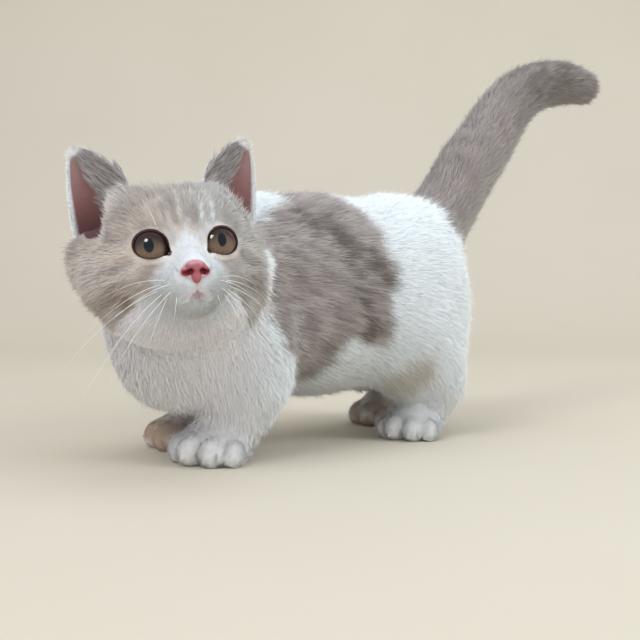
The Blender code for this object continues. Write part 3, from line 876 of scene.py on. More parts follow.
# The painted shadow, tinted tan, in the hollow above the left hock.
HOCK = chain(((24, 57, 21, 4), (34, 56.5, 31, 5), (40, 66, 40, 2)))


def crease_gap(where):
    """How far a place is from the lines between neighbouring toes, or far away behind their fronts."""
    found = np.full(len(where), FAR_AWAY)
    for name in PAWS:
        inverse = np.array(paw_frame(name).inverted())
        x, y, z = (where @ inverse[:3, :3].T + inverse[:3, 3]).T
        in_front = (y < -8) & (y > -26)
        for a, b in zip(TOES, TOES[1:]):
            apart = np.abs(x - (a[0] + b[0]) / 2 * (1 - 0.02 * (y + 12))) + 0.5 * np.maximum(z - 6.5, 0)
            found = np.where(in_front, np.minimum(found, apart), found)
    return found


def streaks(where, size, seed, along):
    """An uneven field drawn out into streaks along one direction."""
    lengthwise = (where @ along)[:, None] * along
    return ripple(where - 0.72 * lengthwise, size, seed)


def body_colours(where, near, wobble):
    """The torso, the legs and the tail, and by itself the lilac of the saddle."""
    x, y, z = where.T
    colour = np.tile(WHITE, (len(where), 1))
    uneven = smooth(0.2 + 0.6 * ripple(where, 15, 14)) * (1 - chest_of(where))
    colour = mix(colour, WHITE_SHADE, 0.5 * uneven)
    # The chest is painted whiter than the rest of the coat: painted light that lifts the shade beneath the
    # head.
    colour = mix(colour, CHEST_LIT_WHITE, chest_of(where))
    # The saddle reaches a little further back and less far down on the right side.
    other = smooth(-x / 12)
    gap = outline_gap(SADDLE, y - 7 * other, z - 9 * other * smooth((90 - z) / 30)) + wobble
    saddle = smooth(0.5 - gap / 6.0)
    bands = np.minimum(line_gap(DARK_BAND, y, z), line_gap(DARK_FLANK, y, z))
    dark = smooth(1 - (bands + 2.5 * ripple(where, 9, 3)) / 9.0) * 0.95
    flank = unit(np.array((0.0, 1.0, -0.35)))
    fleck = streaks(where, 4.6, 15, flank)
    lilac = mix(LILAC, PALE_LILAC, 0.55 * smooth(0.25 + 0.6 * ripple(where, 11, 4)))
    lilac = mix(lilac, LILAC_DARK, np.maximum(dark, 0.35 * smooth(fleck - 0.1)))
    lilac = mix(lilac, PALE_LILAC, 0.5 * smooth(-fleck - 0.25))
    withers = smooth(0.5 - (outline_gap(WITHERS, y, z) + 0.5 * wobble) / 4.5) * smooth((x + 12) / 8)
    colour = mix(colour, lilac, saddle * (1 - 0.9 * withers))
    # The tail and its root.
    tail = smooth((6.5 - near["tail"] + 0.6 * wobble) / 3.5) * smooth((y - 84 + 0.6 * (z - 110)) / 8)
    under = smooth((tail_side(where) - 0.1) / 0.8)
    far = smooth((y - 148) / 34) * (1 - 0.5 * smooth((y - 205) / 18))
    mottle = smooth(0.35 + 0.75 * ripple(where, 8, 5))
    tone = mix(LILAC, LILAC_DARK, 0.30 * mottle + 0.80 * far - 0.10 * mottle * far)
    pale = 0.62 * under * (1 - 0.6 * far) + 0.35 * (1 - under) * smooth(-ripple(where, 6, 16))
    tone = mix(tone, PALE_LILAC, pale)
    return mix(colour, tone, tail), lilac


def head_colours(where, lilac):
    """The head's fur, warmer on its right side, paler and greyer on its left."""
    local = to_head(where)
    hx, hy, hz = local.T
    left = smooth((hx + 6) / 16)
    base = mix(HEAD_FUR, HEAD_FUR_LEFT, left)
    cheek = smooth((np.abs(hx) - 17) / 7) * smooth((10 - hz) / 6)
    base = mix(base, HEAD_LIGHT, (0.80 - 0.55 * left) * cheek * smooth((hz + 14) / 8))
    fall = unit(np.array((0.0, 0.45, 0.9)))
    side_fall = unit(np.array((0.7, 0.6, -0.2)))
    folded = np.stack([np.abs(hx), hy, hz], axis=1)
    over = streaks(local, 4.2, 6, fall) * (1 - cheek) + streaks(folded, 4.6, 7, side_fall) * cheek
    base = mix(base, HEAD_DARK, 0.60 * smooth(over - 0.15))
    base = mix(base, HEAD_LIGHT, 0.60 * smooth(-over - 0.15))
    base = mix(base, CREAM, 0.35 * (1 - left) * smooth(0.2 + ripple(local, 13, 8)))
    # The blaze, the muzzle and the throat. Their white is painted greyer near the middle of the face and on
    # the muzzle, most on its left side, as painted shade.
    white = smooth(0.5 - (distance(BLAZE, where) + 1.0 * ripple(local, 5, 10)) / 4.5)
    jaw = -17 - 0.55 * np.maximum(np.abs(hx) - 19, 0) + 0.12 * np.minimum(-18 - hy, 0)
    white = np.maximum(white, smooth((jaw - hz + 1.6 * ripple(local, 7, 11)) / 5 + 0.4))
    muzzle = smooth((-5 - hz) / 9) * smooth((-22 - hy) / 8)
    pale = mix(WHITE, THROAT_WHITE, smooth((-12 - hz) / 10))
    pale = mix(pale, BLAZE_SHADED_WHITE, smooth((38 - face_gap(where)) / 14))
    pale = mix(pale, mix(MUZZLE_SHADED_WHITE, MUZZLE_SHADE, left), muzzle)
    face = mix(base, pale, white)
    for form, (line, width, tone, strength) in zip(STROKE_CHAINS, STROKES):
        apart = distance(form, local) + 0.5 * ripple(local, 4, 9)
        face = mix(face, tone, strength * smooth(1.25 - apart / width))
    # Behind the left cheek the neck's white and the saddle's lilac begin.
    behind = smooth((hx - 35.6 + 0.10 * (hz + 8) + 0.8 * ripple(local, 6, 31)) / 3.0)
    behind *= smooth((12 - hy) / 4)
    face = mix(face, mix(WHITE, lilac, smooth((hz - 1) / 4)), behind * smooth((18 - hz) / 5))
    ring = smooth(1 - np.abs(lid_gap(where) - 1.5) / 1.5) * smooth((5 - hz) / 5)
    return mix(face, LID_SKIN, 0.6 * ring)


def foot_colours(colour, where, share, wobble):
    """A faint tan of the paws' own, and painted shade with a warm bounce from the floor on the lower legs
    and, more of it, on the right paws; painted shadow above the left hock and in thin creases between the
    toes.
    """
    right = smooth(-where[:, 0] / 14)
    legs, paws = share[3:7].sum(axis=0), share[7:11].sum(axis=0)
    # The right paws and the lower legs are painted tan as painted shade with warm light thrown up from the
    # floor; the left paws keep a faint tan of their own.
    low = paws * (0.10 + 0.85 * right)
    low += legs * (0.17 + 0.30 * right) * smooth((34 - where[:, 2]) / 20)
    colour = mix(colour, TAN_AND_SHADE, low * smooth(0.80 + 0.35 * ripple(where, 12, 12)))
    # Painted shadow in the hollow above the left hock.
    colour = mix(colour, HOCK_SHADOW, 0.55 * smooth(1 - (distance(HOCK, where) + wobble) / 9))
    colour = mix(colour, PAW_WHITE, 0.8 * paws * (1 - right))
    # Painted shade in the thin creases between the toes.
    return mix(colour, TOE_CREASE_SHADOW, 0.6 * smooth(1.4 - crease_gap(where) / 0.42))


def rim_colours(colour, where):
    """The lips, the rims of the lids, painted shade in the hollows of the ears, and the edge round the nose.
    """
    hx, hy, hz = to_head(where).T
    inside = smooth(1 - (np.abs(hx) - 2.6) / 2.8) * smooth((-18.8 - 0.85 * np.abs(hx) - hz) / 0.8)
    inside *= smooth((hz + 24.2) / 3.4) * (hy < -24)
    colour = mix(colour, LOWER_LIP, 0.85 * inside)
    gap = mouth_gap(where)
    colour = mix(colour, LIP_EDGE, 0.55 * smooth(1 - (gap - 0.7) / 0.8) * (hy < -18))
    colour = mix(colour, LIP, smooth(1 - (gap - 0.45) / 0.45) * (hy < -18))
    colour = mix(colour, MAROON, smooth(1 - lid_gap(where) / 0.5))
    # Painted shade in the hollows that lead down from the cups of the ears.
    colour = mix(colour, EAR_HOLLOW_SHADE, smooth(1 - (ear_hollow_gap(where) - 0.5) / 0.7))
    around_nose = smooth(1 - (nose_gap(where) - 0.2) / 0.9)
    return mix(colour, NOSE_EDGE, 0.7 * around_nose * (hy < -25))


def markings(where, near):
    """The coat's colour at each place."""
    share = shares(near)
    wobble = 2.2 * ripple(where, 16, 1) + 1.1 * ripple(where, 5, 2)
    colour, lilac = body_colours(where, near, wobble)
    head = smooth((share[GROUPS.index("head")] + 0.04 * wobble - 0.35) / 0.3)
    colour = mix(colour, head_colours(where, lilac), head)
    colour = foot_colours(colour, where, share, wobble)
    return rim_colours(colour, where)


TAIL_AXIS = np.array([p[:3] for p in TAIL_PATH])


def tail_nearest(where):
    """The nearest place of the tail's middle line, the way it runs there and how far along it is."""
    best = np.full(len(where), np.inf)
    middle = np.zeros_like(where)
    ahead = np.tile((0.0, 1.0, 0.0), (len(where), 1))
    along = np.zeros(len(where))
    for k, (a, b) in enumerate(zip(TAIL_AXIS, TAIL_AXIS[1:])):
        t = np.clip((where - a) @ (b - a) / np.dot(b - a, b - a), 0, 1)
        spot = a + t[:, None] * (b - a)
        apart = np.linalg.norm(where - spot, axis=1)
        closer = apart < best
        best[closer] = apart[closer]
        middle[closer] = spot[closer]
        ahead[closer] = unit(b - a)
        along[closer] = (k + t[closer]) / (len(TAIL_AXIS) - 1)
    return middle, ahead, along


def tail_side(where):
    """Positive on the tail's underside, less than zero above."""
    middle, ahead, along = tail_nearest(where)
    out = unit(where - middle)
    back = unit(np.array((0.0, 1.0, -0.75)))
    return out @ back


# The lie of the coat.


# The place of the head, on the nose, that all its hairs point away from.
WHORL = (0.0, -35.0, -8.0)


def lie_of(where, share):
    """The way the hairs point, before it is laid along the skin."""
    x, y, z = where.T
    ones, zeros = np.ones_like(x), np.zeros_like(x)
    flank = smooth(np.abs(x) / 34)
    chest = chest_of(where)
    rump = smooth((y - 96) / 24) * smooth((122 - z) / 22)
    torso = np.stack([zeros, ones, -0.30 * flank], axis=1) * ((1 - chest) * (1 - rump))[:, None]
    torso += chest[:, None] * np.stack([0.012 * x, 0.12 * ones, -ones], axis=1)
    torso += rump[:, None] * np.stack([0.008 * x, 0.25 * ones, -ones], axis=1)
    local = to_head(where)
    away = unit(local - WHORL)
    away[:, 2] -= 0.25 * smooth((np.abs(local[:, 0]) - 12) / 14)
    head = away @ HEAD_TURN.T
    tail = tail_nearest(where)[1]
    lie = share[0][:, None] * torso + share[1][:, None] * tail + share[2][:, None] * head
    for k, name in enumerate(PAWS):
        side, _, out = PAWS[name]
        angle = math.radians(side * out)
        lie += share[3 + k][:, None] * np.array((0.0, 0.15, -1.0))
        lie += share[7 + k][:, None] * np.array((math.sin(angle), -math.cos(angle), -0.35))
    return lie


def scatter(points, normals, triangles, density, draw):
    """Random places on a mesh, with density (per square millimetre) given at its points."""
    a, b, c = (points[triangles[:, k]] for k in range(3))
    area = 0.5 * np.linalg.norm(np.cross(b - a, c - a), axis=1)
    wanted = area * density[triangles].mean(axis=1)
    count = np.floor(wanted + draw.random(len(wanted))).astype(int)
    pick = np.repeat(np.arange(len(triangles)), count)
    u, v = draw.random(len(pick)), draw.random(len(pick))
    flip = u + v > 1
    u[flip], v[flip] = 1 - u[flip], 1 - v[flip]
    weight = np.stack([1 - u - v, u, v], axis=1)[:, :, None]
    corners = triangles[pick]
    upward = unit((normals[corners] * weight).sum(axis=1))
    return (points[corners] * weight).sum(axis=1), upward, pick, weight


def mesh_arrays(obj):
    """Points, normals and triangles of a mesh."""
    obj.data.calc_loop_triangles()
    triangles = np.empty(len(obj.data.loop_triangles) * 3, np.int32)
    obj.data.loop_triangles.foreach_get("vertices", triangles)
    normals = np.empty(len(obj.data.vertices) * 3, np.float32)
    obj.data.vertices.foreach_get("normal", normals)
    return points_of(obj), normals.reshape(-1, 3).astype(float), triangles.reshape(-1, 3)


def clump_centres(roots, size, draw):
    """For each root, the index of the root that its tuft gathers round."""
    some = max(1, int(len(roots) / max(size, 1.0)))
    chosen = draw.choice(len(roots), some, replace=False)
    tree = tree_of(roots[chosen])
    return chosen[np.array([tree.find(p)[1] for p in roots])]


# How far a root is sunk in the skin, how far its tip may be from its tuft, and how high above the
# floor the hairs stay, in millimetres.
ROOT_SUNK = 0.3
TUFT_REACH = 9
FLOOR_ROOM = 0.4
EDGE_ROOM = 0.15
# How unevenly the hairs stand, stray and roll, in degrees.
UNEVEN_RISE = 6
COAT_STRAY = 11.0
ROLL = 48


def hairs(roots, normals, lie, length, width, lift, colours, segments, draw, gather, tuft, stray=COAT_STRAY):
    """Flat tapering hairs, all bent along the lie of the coat: their points, faces, colours and shading."""
    count = len(roots)
    lie = lie - (lie * normals).sum(axis=1)[:, None] * normals
    lie = unit(lie + 1e-6)
    side = np.cross(lie, normals)
    turn = np.radians(draw.normal(0, stray, count))
    lie = lie * np.cos(turn)[:, None] + side * np.sin(turn)[:, None]
    side = np.cross(lie, normals)
    rise = np.radians(np.clip(lift + draw.normal(0, UNEVEN_RISE, count), 4, 80))
    droop = rise * draw.uniform(0.35, 0.75, count)
    rows = [roots - normals * ROOT_SUNK]
    step = (length / segments)[:, None]
    for k in range(segments):
        angle = rise + (droop - rise) * (k / (segments - 1))
        rows.append(rows[-1] + step * (lie * np.cos(angle)[:, None] + normals * np.sin(angle)[:, None]))
    rows = np.stack(rows, axis=1)
    rows[:, :, 2] = np.maximum(rows[:, :, 2], FLOOR_ROOM)
    # The tips of a tuft lean together.
    centre = clump_centres(roots, tuft, draw)
    close = np.linalg.norm(roots[centre] - roots, axis=1) < TUFT_REACH
    pull = gather * draw.uniform(0.5, 1.2, count) * close
    for k in range(1, segments + 1):
        amount = (pull * (k / segments) ** 1.6)[:, None]
        rows[:, k] += (rows[centre, k] - rows[:, k]) * amount
    roll = np.radians(draw.uniform(-ROLL, ROLL, count))
    flat = side * np.cos(roll)[:, None] + normals * np.sin(roll)[:, None]
    points = []
    for k in range(segments):
        half = (width * (1.0 - 0.30 * k / segments) / 2)[:, None] * flat
        points += [rows[:, k] - half, rows[:, k] + half]
    points.append(rows[:, segments])
    points = np.stack(points, axis=1)
    points[:, :, 2] = np.maximum(points[:, :, 2], EDGE_ROOM)
    # Each hair has its own tone at random, and painted shade that makes it a little darker towards its root,
    # deep in the coat.
    shade = draw.normal(1.0, 0.045, count)
    tint = []
    for k in range(2 * segments + 1):
        along = min(k // 2 / segments, 1.0) if k < 2 * segments else 1.0
        tint.append(colours * (shade * (0.93 + 0.09 * along))[:, None])
    tint = np.stack(tint, axis=1)
    stride = 2 * segments + 1
    base = np.arange(count) * stride
    quads = [
        np.stack([base + 2 * k, base + 2 * k + 1, base + 2 * k + 3, base + 2 * k + 2], axis=1)
        for k in range(segments - 1)
    ]
    tips = np.stack([base + stride - 3, base + stride - 2, base + stride - 1], axis=1)
    facing = unit(0.85 * normals + 0.20 * flat + draw.normal(0, 0.09, (count, 3)))
    return points, np.concatenate(quads), tips, tint, facing


PATCH = 0.003


def coat_piece(name, grown, plan, material, slot):
    """One object of hairs, with the map where each hair is a small patch at its root's place."""
    points, quads, tips, tint, facing = grown
    count, stride = points.shape[:2]
    low, high = plan.min(axis=0), plan.max(axis=0)
    spot = PATCH + (plan - low) / np.maximum(high - low, 1e-6) * (1 - 2 * PATCH)
    uvs = np.empty((count, stride, 2))
    for k in range(stride):
        last = k == stride - 1
        across = 0.0 if last else (-0.5 if k % 2 == 0 else 0.5)
        along = (k // 2) / (stride // 2) - 0.5
        uvs[:, k] = spot + PATCH * np.array((across, along))
    obj = mesh_object(name, points.reshape(-1, 3), [quads, tips], uvs.reshape(-1, 2))
    # The tufts are lit as the soft surface that they make together.
    obj.data.normals_split_custom_set_from_vertices(np.repeat(facing, stride, axis=0).astype(np.float32))
    paint_points(obj, tint.reshape(-1, 3))
    finished(obj, material, slot)


# Materials.


def new_material(name, rough):
    material = bpy.data.materials.new(name)
    material.use_nodes = True
    nodes = material.node_tree.nodes
    shader = nodes["Principled BSDF"]
    shader.inputs["Roughness"].default_value = rough
    return material, nodes, material.node_tree.links, shader


def painted(nodes):
    """The colours that are painted on a piece's points."""
    node = nodes.new("ShaderNodeVertexColor")
    node.layer_name = "coat"
    return node.outputs["Color"]


def grain_of(nodes, links, scale, detail=2.0):
    """A fine uneven grain in the piece's own space."""
    place = nodes.new("ShaderNodeTexCoord")
    grain = nodes.new("ShaderNodeTexNoise")
    grain.inputs["Scale"].default_value = scale
    grain.inputs["Detail"].default_value = detail
    links.new(place.outputs["Object"], grain.inputs["Vector"])
    return grain.outputs["Fac"]


def raise_grain(nodes, links, shader, grain, strength, depth):
    raised = nodes.new("ShaderNodeBump")
    raised.inputs["Strength"].default_value = strength
    raised.inputs["Distance"].default_value = depth
    links.new(grain, raised.inputs["Height"])
    links.new(raised.outputs["Normal"], shader.inputs["Normal"])


def coat_material(name, rough, bump=0.0, dim=1.0):
    """Soft fur: the painted colour with a fine uneven tone, and bumps where no hairs are modelled."""
    material, nodes, links, shader = new_material(name, rough)
    grain = grain_of(nodes, links, 420.0, 3.0)
    tone = nodes.new("ShaderNodeMapRange")
    tone.inputs["To Min"].default_value = 0.90 * dim
    tone.inputs["To Max"].default_value = 1.08 * dim
    links.new(grain, tone.inputs["Value"])
    shaded = nodes.new("ShaderNodeVectorMath")
    shaded.operation = "SCALE"
    links.new(painted(nodes), shaded.inputs[0])
    links.new(tone.outputs["Result"], shaded.inputs["Scale"])
    links.new(shaded.outputs["Vector"], shader.inputs["Base Color"])
    if bump:
        raise_grain(nodes, links, shader, grain, bump, 0.0004)
    shader.inputs["Specular IOR Level"].default_value = 0.25
    shader.inputs["Sheen Weight"].default_value = 0.25
    shader.inputs["Sheen Roughness"].default_value = 0.5
    return material


def wet_material(name, rough, coat, bump=0.0, scale=900.0):
    """A moist or glossy surface with the painted colour."""
    material, nodes, links, shader = new_material(name, rough)
    links.new(painted(nodes), shader.inputs["Base Color"])
    if bump:
        raise_grain(nodes, links, shader, grain_of(nodes, links, scale), bump, 0.0003)
    shader.inputs["Specular IOR Level"].default_value = 0.06
    shader.inputs["Coat Weight"].default_value = coat
    shader.inputs["Coat IOR"].default_value = 1.38
    shader.inputs["Coat Roughness"].default_value = 0.03
    return material


# Eyes.

SIDE_NAMES = {1: "left", -1: "right"}
CORNEA_RISE = 0.55
CORNEA_NARROW = 4.0
# How far the look is turned towards the right side and down, and the pupil's half width.
LOOK = {1: (1.5, 0.0), -1: (0.7, 0.6)}
PUPIL_WIDTH = {1: 1.85, -1: 2.2}
PUPIL_HEIGHT = 3.1
TEAR_PLACE = (-7.5, -4.1, 3.9)
TEAR_SIZE = (1.3, 0.85, 0.9, 1.0)


def make_eye(side, material):
    """An eyeball with a slightly raised cornea, its iris and its upright pupil painted on its points, with
    painted shade of the upper lid over the iris's top.
    """
    bm = bmesh.new()
    bmesh.ops.create_uvsphere(bm, u_segments=160, v_segments=110, radius=1.0)
    for vert in bm.verts:
        off_axis = math.acos(max(-1.0, min(1.0, vert.co.z)))
        vert.co *= EYE_RADIUS - 0.1 + CORNEA_RISE * math.exp(-CORNEA_NARROW * off_axis**2)
    local = np.array([v.co for v in bm.verts])
    bm.transform(eye_frame(side))
    obj = object_from(bm, "eyeball_" + SIDE_NAMES[side])
    x, y = local[:, 0] + LOOK[side][0], local[:, 1] + LOOK[side][1]
    reach, around = np.hypot(x, y), np.arctan2(y, x)
    draw = np.random.default_rng(IRIS_SEED)
    waves = (
        np.sin(around * draw.integers(9, 60) + draw.uniform(0, 6.3)) * draw.uniform(0.4, 1.0)
        for _ in range(14)
    )
    fibres = sum(waves) / 8
    # The iris's top is painted dark as the shadow of the upper lid.
    iris = mix(IRIS_LID_SHADOW, IRIS_LOW, smooth(0.50 - y / 6.5))
    iris = mix(iris, IRIS_INNER, 0.5 * smooth((3.8 - reach) / 1.8))
    iris *= (1 + 0.25 * fibres)[:, None]
    # The iris's own dark outer ring, reaching further in at the top as painted shade of the upper lid.
    iris = mix(iris, IRIS_RIM, smooth((reach - 4.6 + 0.32 * y) / 2.4))
    pupil = np.hypot(x / PUPIL_WIDTH[side], y / PUPIL_HEIGHT)
    paint_points(obj, mix(iris, PUPIL, smooth((1.12 - pupil) / 0.22)))
    obj.data.shade_smooth()
    finished(obj, material, "eye", "eye_" + SIDE_NAMES[side])


def cords(name, paths, cyclic=False, roundness=2):
    """Round cords along paths of points, each with its radii, joined into one mesh."""
    curve = bpy.data.curves.new(name, "CURVE")
    curve.dimensions = "3D"
    curve.bevel_depth = MM
    curve.bevel_resolution = roundness
    curve.use_fill_caps = True
    for points, radii in paths:
        spline = curve.splines.new("POLY")
        spline.points.add(len(points) - 1)
        spline.use_cyclic_u = cyclic
        for knot, place, radius in zip(spline.points, (points - MIDDLE) * MM, radii):
            knot.co = (*place, 1.0)
            knot.radius = radius
    drawn = placed(name + "_path", curve)
    graph = bpy.context.evaluated_depsgraph_get()
    mesh = bpy.data.meshes.new_from_object(drawn.evaluated_get(graph))
    mesh.name = name
    bpy.data.objects.remove(drawn, do_unlink=True)
    obj = placed(name, mesh)
    face_outward(obj)
    obj.data.shade_smooth()
    return obj


def make_lid_rim(side, material):
    """The dark wet edge of both lids, as a closed cord along the opening."""
    outline = eye_outline(96, 0.05)
    reach = np.hypot(outline[:, 0], outline[:, 1])
    depth = np.sqrt(np.maximum((EYE_RADIUS + 0.25) ** 2 - reach**2, 6.0))
    upper = smooth(0.5 + outline[:, 1] / 9)
    path = np.concatenate([outline * (side, 1), depth[:, None]], axis=1)
    there = np.array(eye_frame(side))
    path = path @ there[:3, :3].T + there[:3, 3]
    obj = cords("lid_rim_" + SIDE_NAMES[side], [(path, 0.34 + 0.30 * upper)], cyclic=True)
    inner = smooth((-eye_local(points_of(obj), side)[:, 0] - 7.5) / 2)
    paint_points(obj, mix(np.tile(LID_RIM, (len(inner), 1)), LID_CORNER, 0.5 * inner))
    finished(obj, material, "nose_leather")


def make_tear_corner(side, material):
    """The small fold of pink skin in an eye's inner corner."""
    x, y, z = TEAR_PLACE
    place = eye_frame(side) @ Matrix.Translation((side * x, y, z)) @ Matrix.Diagonal(TEAR_SIZE)
    bm = bmesh.new()
    bmesh.ops.create_icosphere(bm, subdivisions=3, radius=1.0, matrix=place)
    obj = object_from(bm, "tear_corner_" + SIDE_NAMES[side])
    paint_points(obj, np.tile(TEAR_PINK, (len(obj.data.vertices), 1)))
    obj.data.shade_smooth()
    finished(obj, material, "nose_leather")


# The nose.

NOSE_VOXEL = 0.34


def make_nose(material):
    nose = remeshed_balls("nose_pad", NOSE, 0.2, NOSE_VOXEL)
    where = settle(points_of(nose), nose_level, 8, 0.5)
    set_points(nose, where)
    face_outward(nose)
    hole = melt([distance(f, where) for f in NOSTRILS], 0.3)
    height = (to_head(where) - NOSE_CENTRE)[:, 2]
    tone = mix(NOSE_LOW, NOSE_TOP, smooth((height - 0.4) / 3.0 + 0.3 * ripple(where, 2.5, 20)))
    # The nostrils' own dark red rim, and painted shadow deeper inside them.
    tone = mix(tone, NOSTRIL_RIM, smooth(1 - hole / 1.1))
    tone = mix(tone, NOSTRIL_SHADOW, smooth(1 - (hole + 0.05) / 0.4))
    paint_points(nose, tone)
    finished(nose, material, "nose_leather", "nose")


# Ears.

EAR_COLUMNS = 26
EAR_ROWS = np.concatenate([[-0.25, -0.12], np.linspace(0, 0.9, 28), [0.93, 0.955, 0.975, 0.99, 1.0]])
EAR_COAT = 1.0
EAR_SKIN_THICKNESS = EAR_THICKNESS - 1.1
TUFT_HAIRS = 2600


def ear_grid(side):
    """Rows of an ear from root to tip: its back from the inner to the outer edge, then its cup.

    With each point goes how far up the ear it is, how far across, and whether it is on the back.
    The ways that the ear's height and width run come last.
    """
    base = Vector(EAR_BASE)
    tip = Vector(EAR_TIP_LEFT if side > 0 else EAR_TIP_RIGHT)
    up = tip - base
    height = up.length
    up.normalize()
    facing = Vector(EAR_FACING)
    facing = (facing - up * facing.dot(up)).normalized()
    out = up.cross(facing).normalized()
    if out.x < 0:
        out = -out
    rows, marks = [], []
    for t in EAR_ROWS:
        s = max(1 - max(t, 0.0), 0.004)
        inward = min(EAR_INNER_WIDTH * s**0.58, EAR_INNER_MOST) - EAR_COAT * s**0.5
        outward = EAR_OUTER_WIDTH * s**0.6 - EAR_COAT * s**0.5
        cup = EAR_CUP_DEPTH * s**0.75
        drop = EAR_OUTER_DROP * s
        for back in (1, 0):
            steps = range(EAR_COLUMNS + 1) if back else range(EAR_COLUMNS, -1, -1)
            for k in steps:
                v = 2 * k / EAR_COLUMNS - 1
                half = outward if v > 0 else inward
                depth = EAR_SKIN_THICKNESS * (0.45 + 0.55 * s) * (1 - 0.6 * v**4)
                bow = cup * (1 - v * v) + EAR_COAT / 2 + back * depth
                low = drop * ((v + 1) / 2) ** 2
                p = base + up * ((height - EAR_COAT) * t - low) + out * half * v - facing * bow
                rows.append((side * p.x, p.y, p.z))
                marks.append((t, v, back))
    turn = HEAD.to_3x3().normalized()
    ways = [np.array(turn @ Vector((side * way.x, way.y, way.z))) for way in (up, out)]
    return from_head(np.array(rows)), np.array(marks), *ways


def make_ear(side):
    """An ear's skin as a closed mesh, with what is needed to grow hair on it."""
    points, marks, up, out = ear_grid(side)
    ring = 2 * (EAR_COLUMNS + 1)
    last_row = len(EAR_ROWS) - 1
    # A flat sheet is wrapped round the rows, sewn up along its seam and closed at both ends.
    bm = bmesh.new()
    bmesh.ops.create_grid(bm, x_segments=ring, y_segments=last_row, size=1.0)
    for vert in bm.verts:
        column = round((vert.co.x + 1) / 2 * ring) % ring
        row = round((vert.co.y + 1) / 2 * last_row)
        vert.co = points[row * ring + column]
    bmesh.ops.remove_doubles(bm, verts=bm.verts, dist=1e-5)
    bmesh.ops.holes_fill(bm, edges=[e for e in bm.edges if e.is_boundary], sides=0)
    bmesh.ops.triangulate(bm, faces=bm.faces)
    obj = object_from(bm, "ear")
    face_outward(obj)
    return obj, {"points": points, "marks": marks, "up": up, "out": out}


def ear_colour(marks, where):
    """Rose in the cup, darkened towards its root by painted shade, with a pale rim, and lilac on the back.
    """
    t, v, back = marks.T
    # Painted shade darkens the cup towards its root.
    cup = mix(EAR_HOLLOW_SHADE, EAR_ROSE, smooth((t - 0.02) / 0.6))
    cup = mix(cup, EAR_UPPER_CUP, 0.5 * smooth((t - 0.5) / 0.4))
    # The small pocket low on the outer edge.
    pocket = smooth(1.2 - np.hypot((t - 0.06) / 0.07, (v - 0.66) / 0.16))
    cup = mix(cup, EAR_POCKET, 0.5 * pocket)
    rim = np.maximum(smooth((np.abs(v) - 0.88) / 0.08), smooth((t - 0.92) / 0.06))
    cup = mix(cup, WHITE, 0.8 * rim)
    outer = mix(LILAC, PALE_LILAC, 0.6 + 0.4 * np.clip(ripple(where, 8, 30), -1, 1))
    outer = mix(outer, WHITE, 0.55 * smooth((t - 0.86) / 0.1))
    return mix(cup, outer, back)


def near_rim(t, v):
    """How much a place belongs to the ear's furry edge."""
    return np.maximum(smooth((np.abs(v) - 0.80) / 0.12), smooth((t - 0.88) / 0.08))


def grow_ear_coat(name, ear, data, coat):
    """Short hairs on an ear's back and edge, and hardly any in its cup."""
    points, normals, triangles = mesh_arrays(ear)
    tree = tree_of(data["points"])
    marks = data["marks"][[tree.find(p)[1] for p in points]]
    t, v, back = marks.T
    density = np.where(back > 0.5, 7.0, 0.9 + 8.0 * near_rim(t, v))
    roots, up, pick, weight = scatter(points, normals, triangles, density, rng)
    marks = (marks[triangles[pick]] * weight).sum(axis=1)
    free = envelope(group_distances(roots)) >= -1.5
    roots, up, marks = roots[free], up[free], marks[free]
    t, v, back = marks.T
    on_back = back > 0.5
    rim = near_rim(t, v)
    flow = np.tile(data["up"], (len(roots), 1))
    flow += data["out"] * np.where(on_back, 0.25 * v, 0.9 * rim * np.sign(v))[:, None]
    tip = smooth((t - 0.90) / 0.08)
    long = np.where(on_back, 3.4 - 0.8 * t, 0.9 + 1.2 * rim) + 2.2 * tip * rng.random(len(roots))
    long *= rng.uniform(0.7, 1.15, len(roots))
    tone = ear_colour(marks, roots)
    tone = np.where(on_back[:, None], tone, mix(tone, WHITE, 0.08 + 0.75 * rim))
    tone = mix(tone, EAR_TUFT, 0.85 * tip)
    wide, lift = np.full(len(roots), 0.22), np.where(on_back, 20.0, 24.0)
    grown = hairs(roots, up, flow, long, wide, lift, tone, 2, rng, 0.25, 7.0)
    plan = np.stack([v + 2.2 * on_back, t], axis=1)
    coat_piece("coat_ear_" + name, grown, plan, coat, "coat_lilac")
    return points, normals


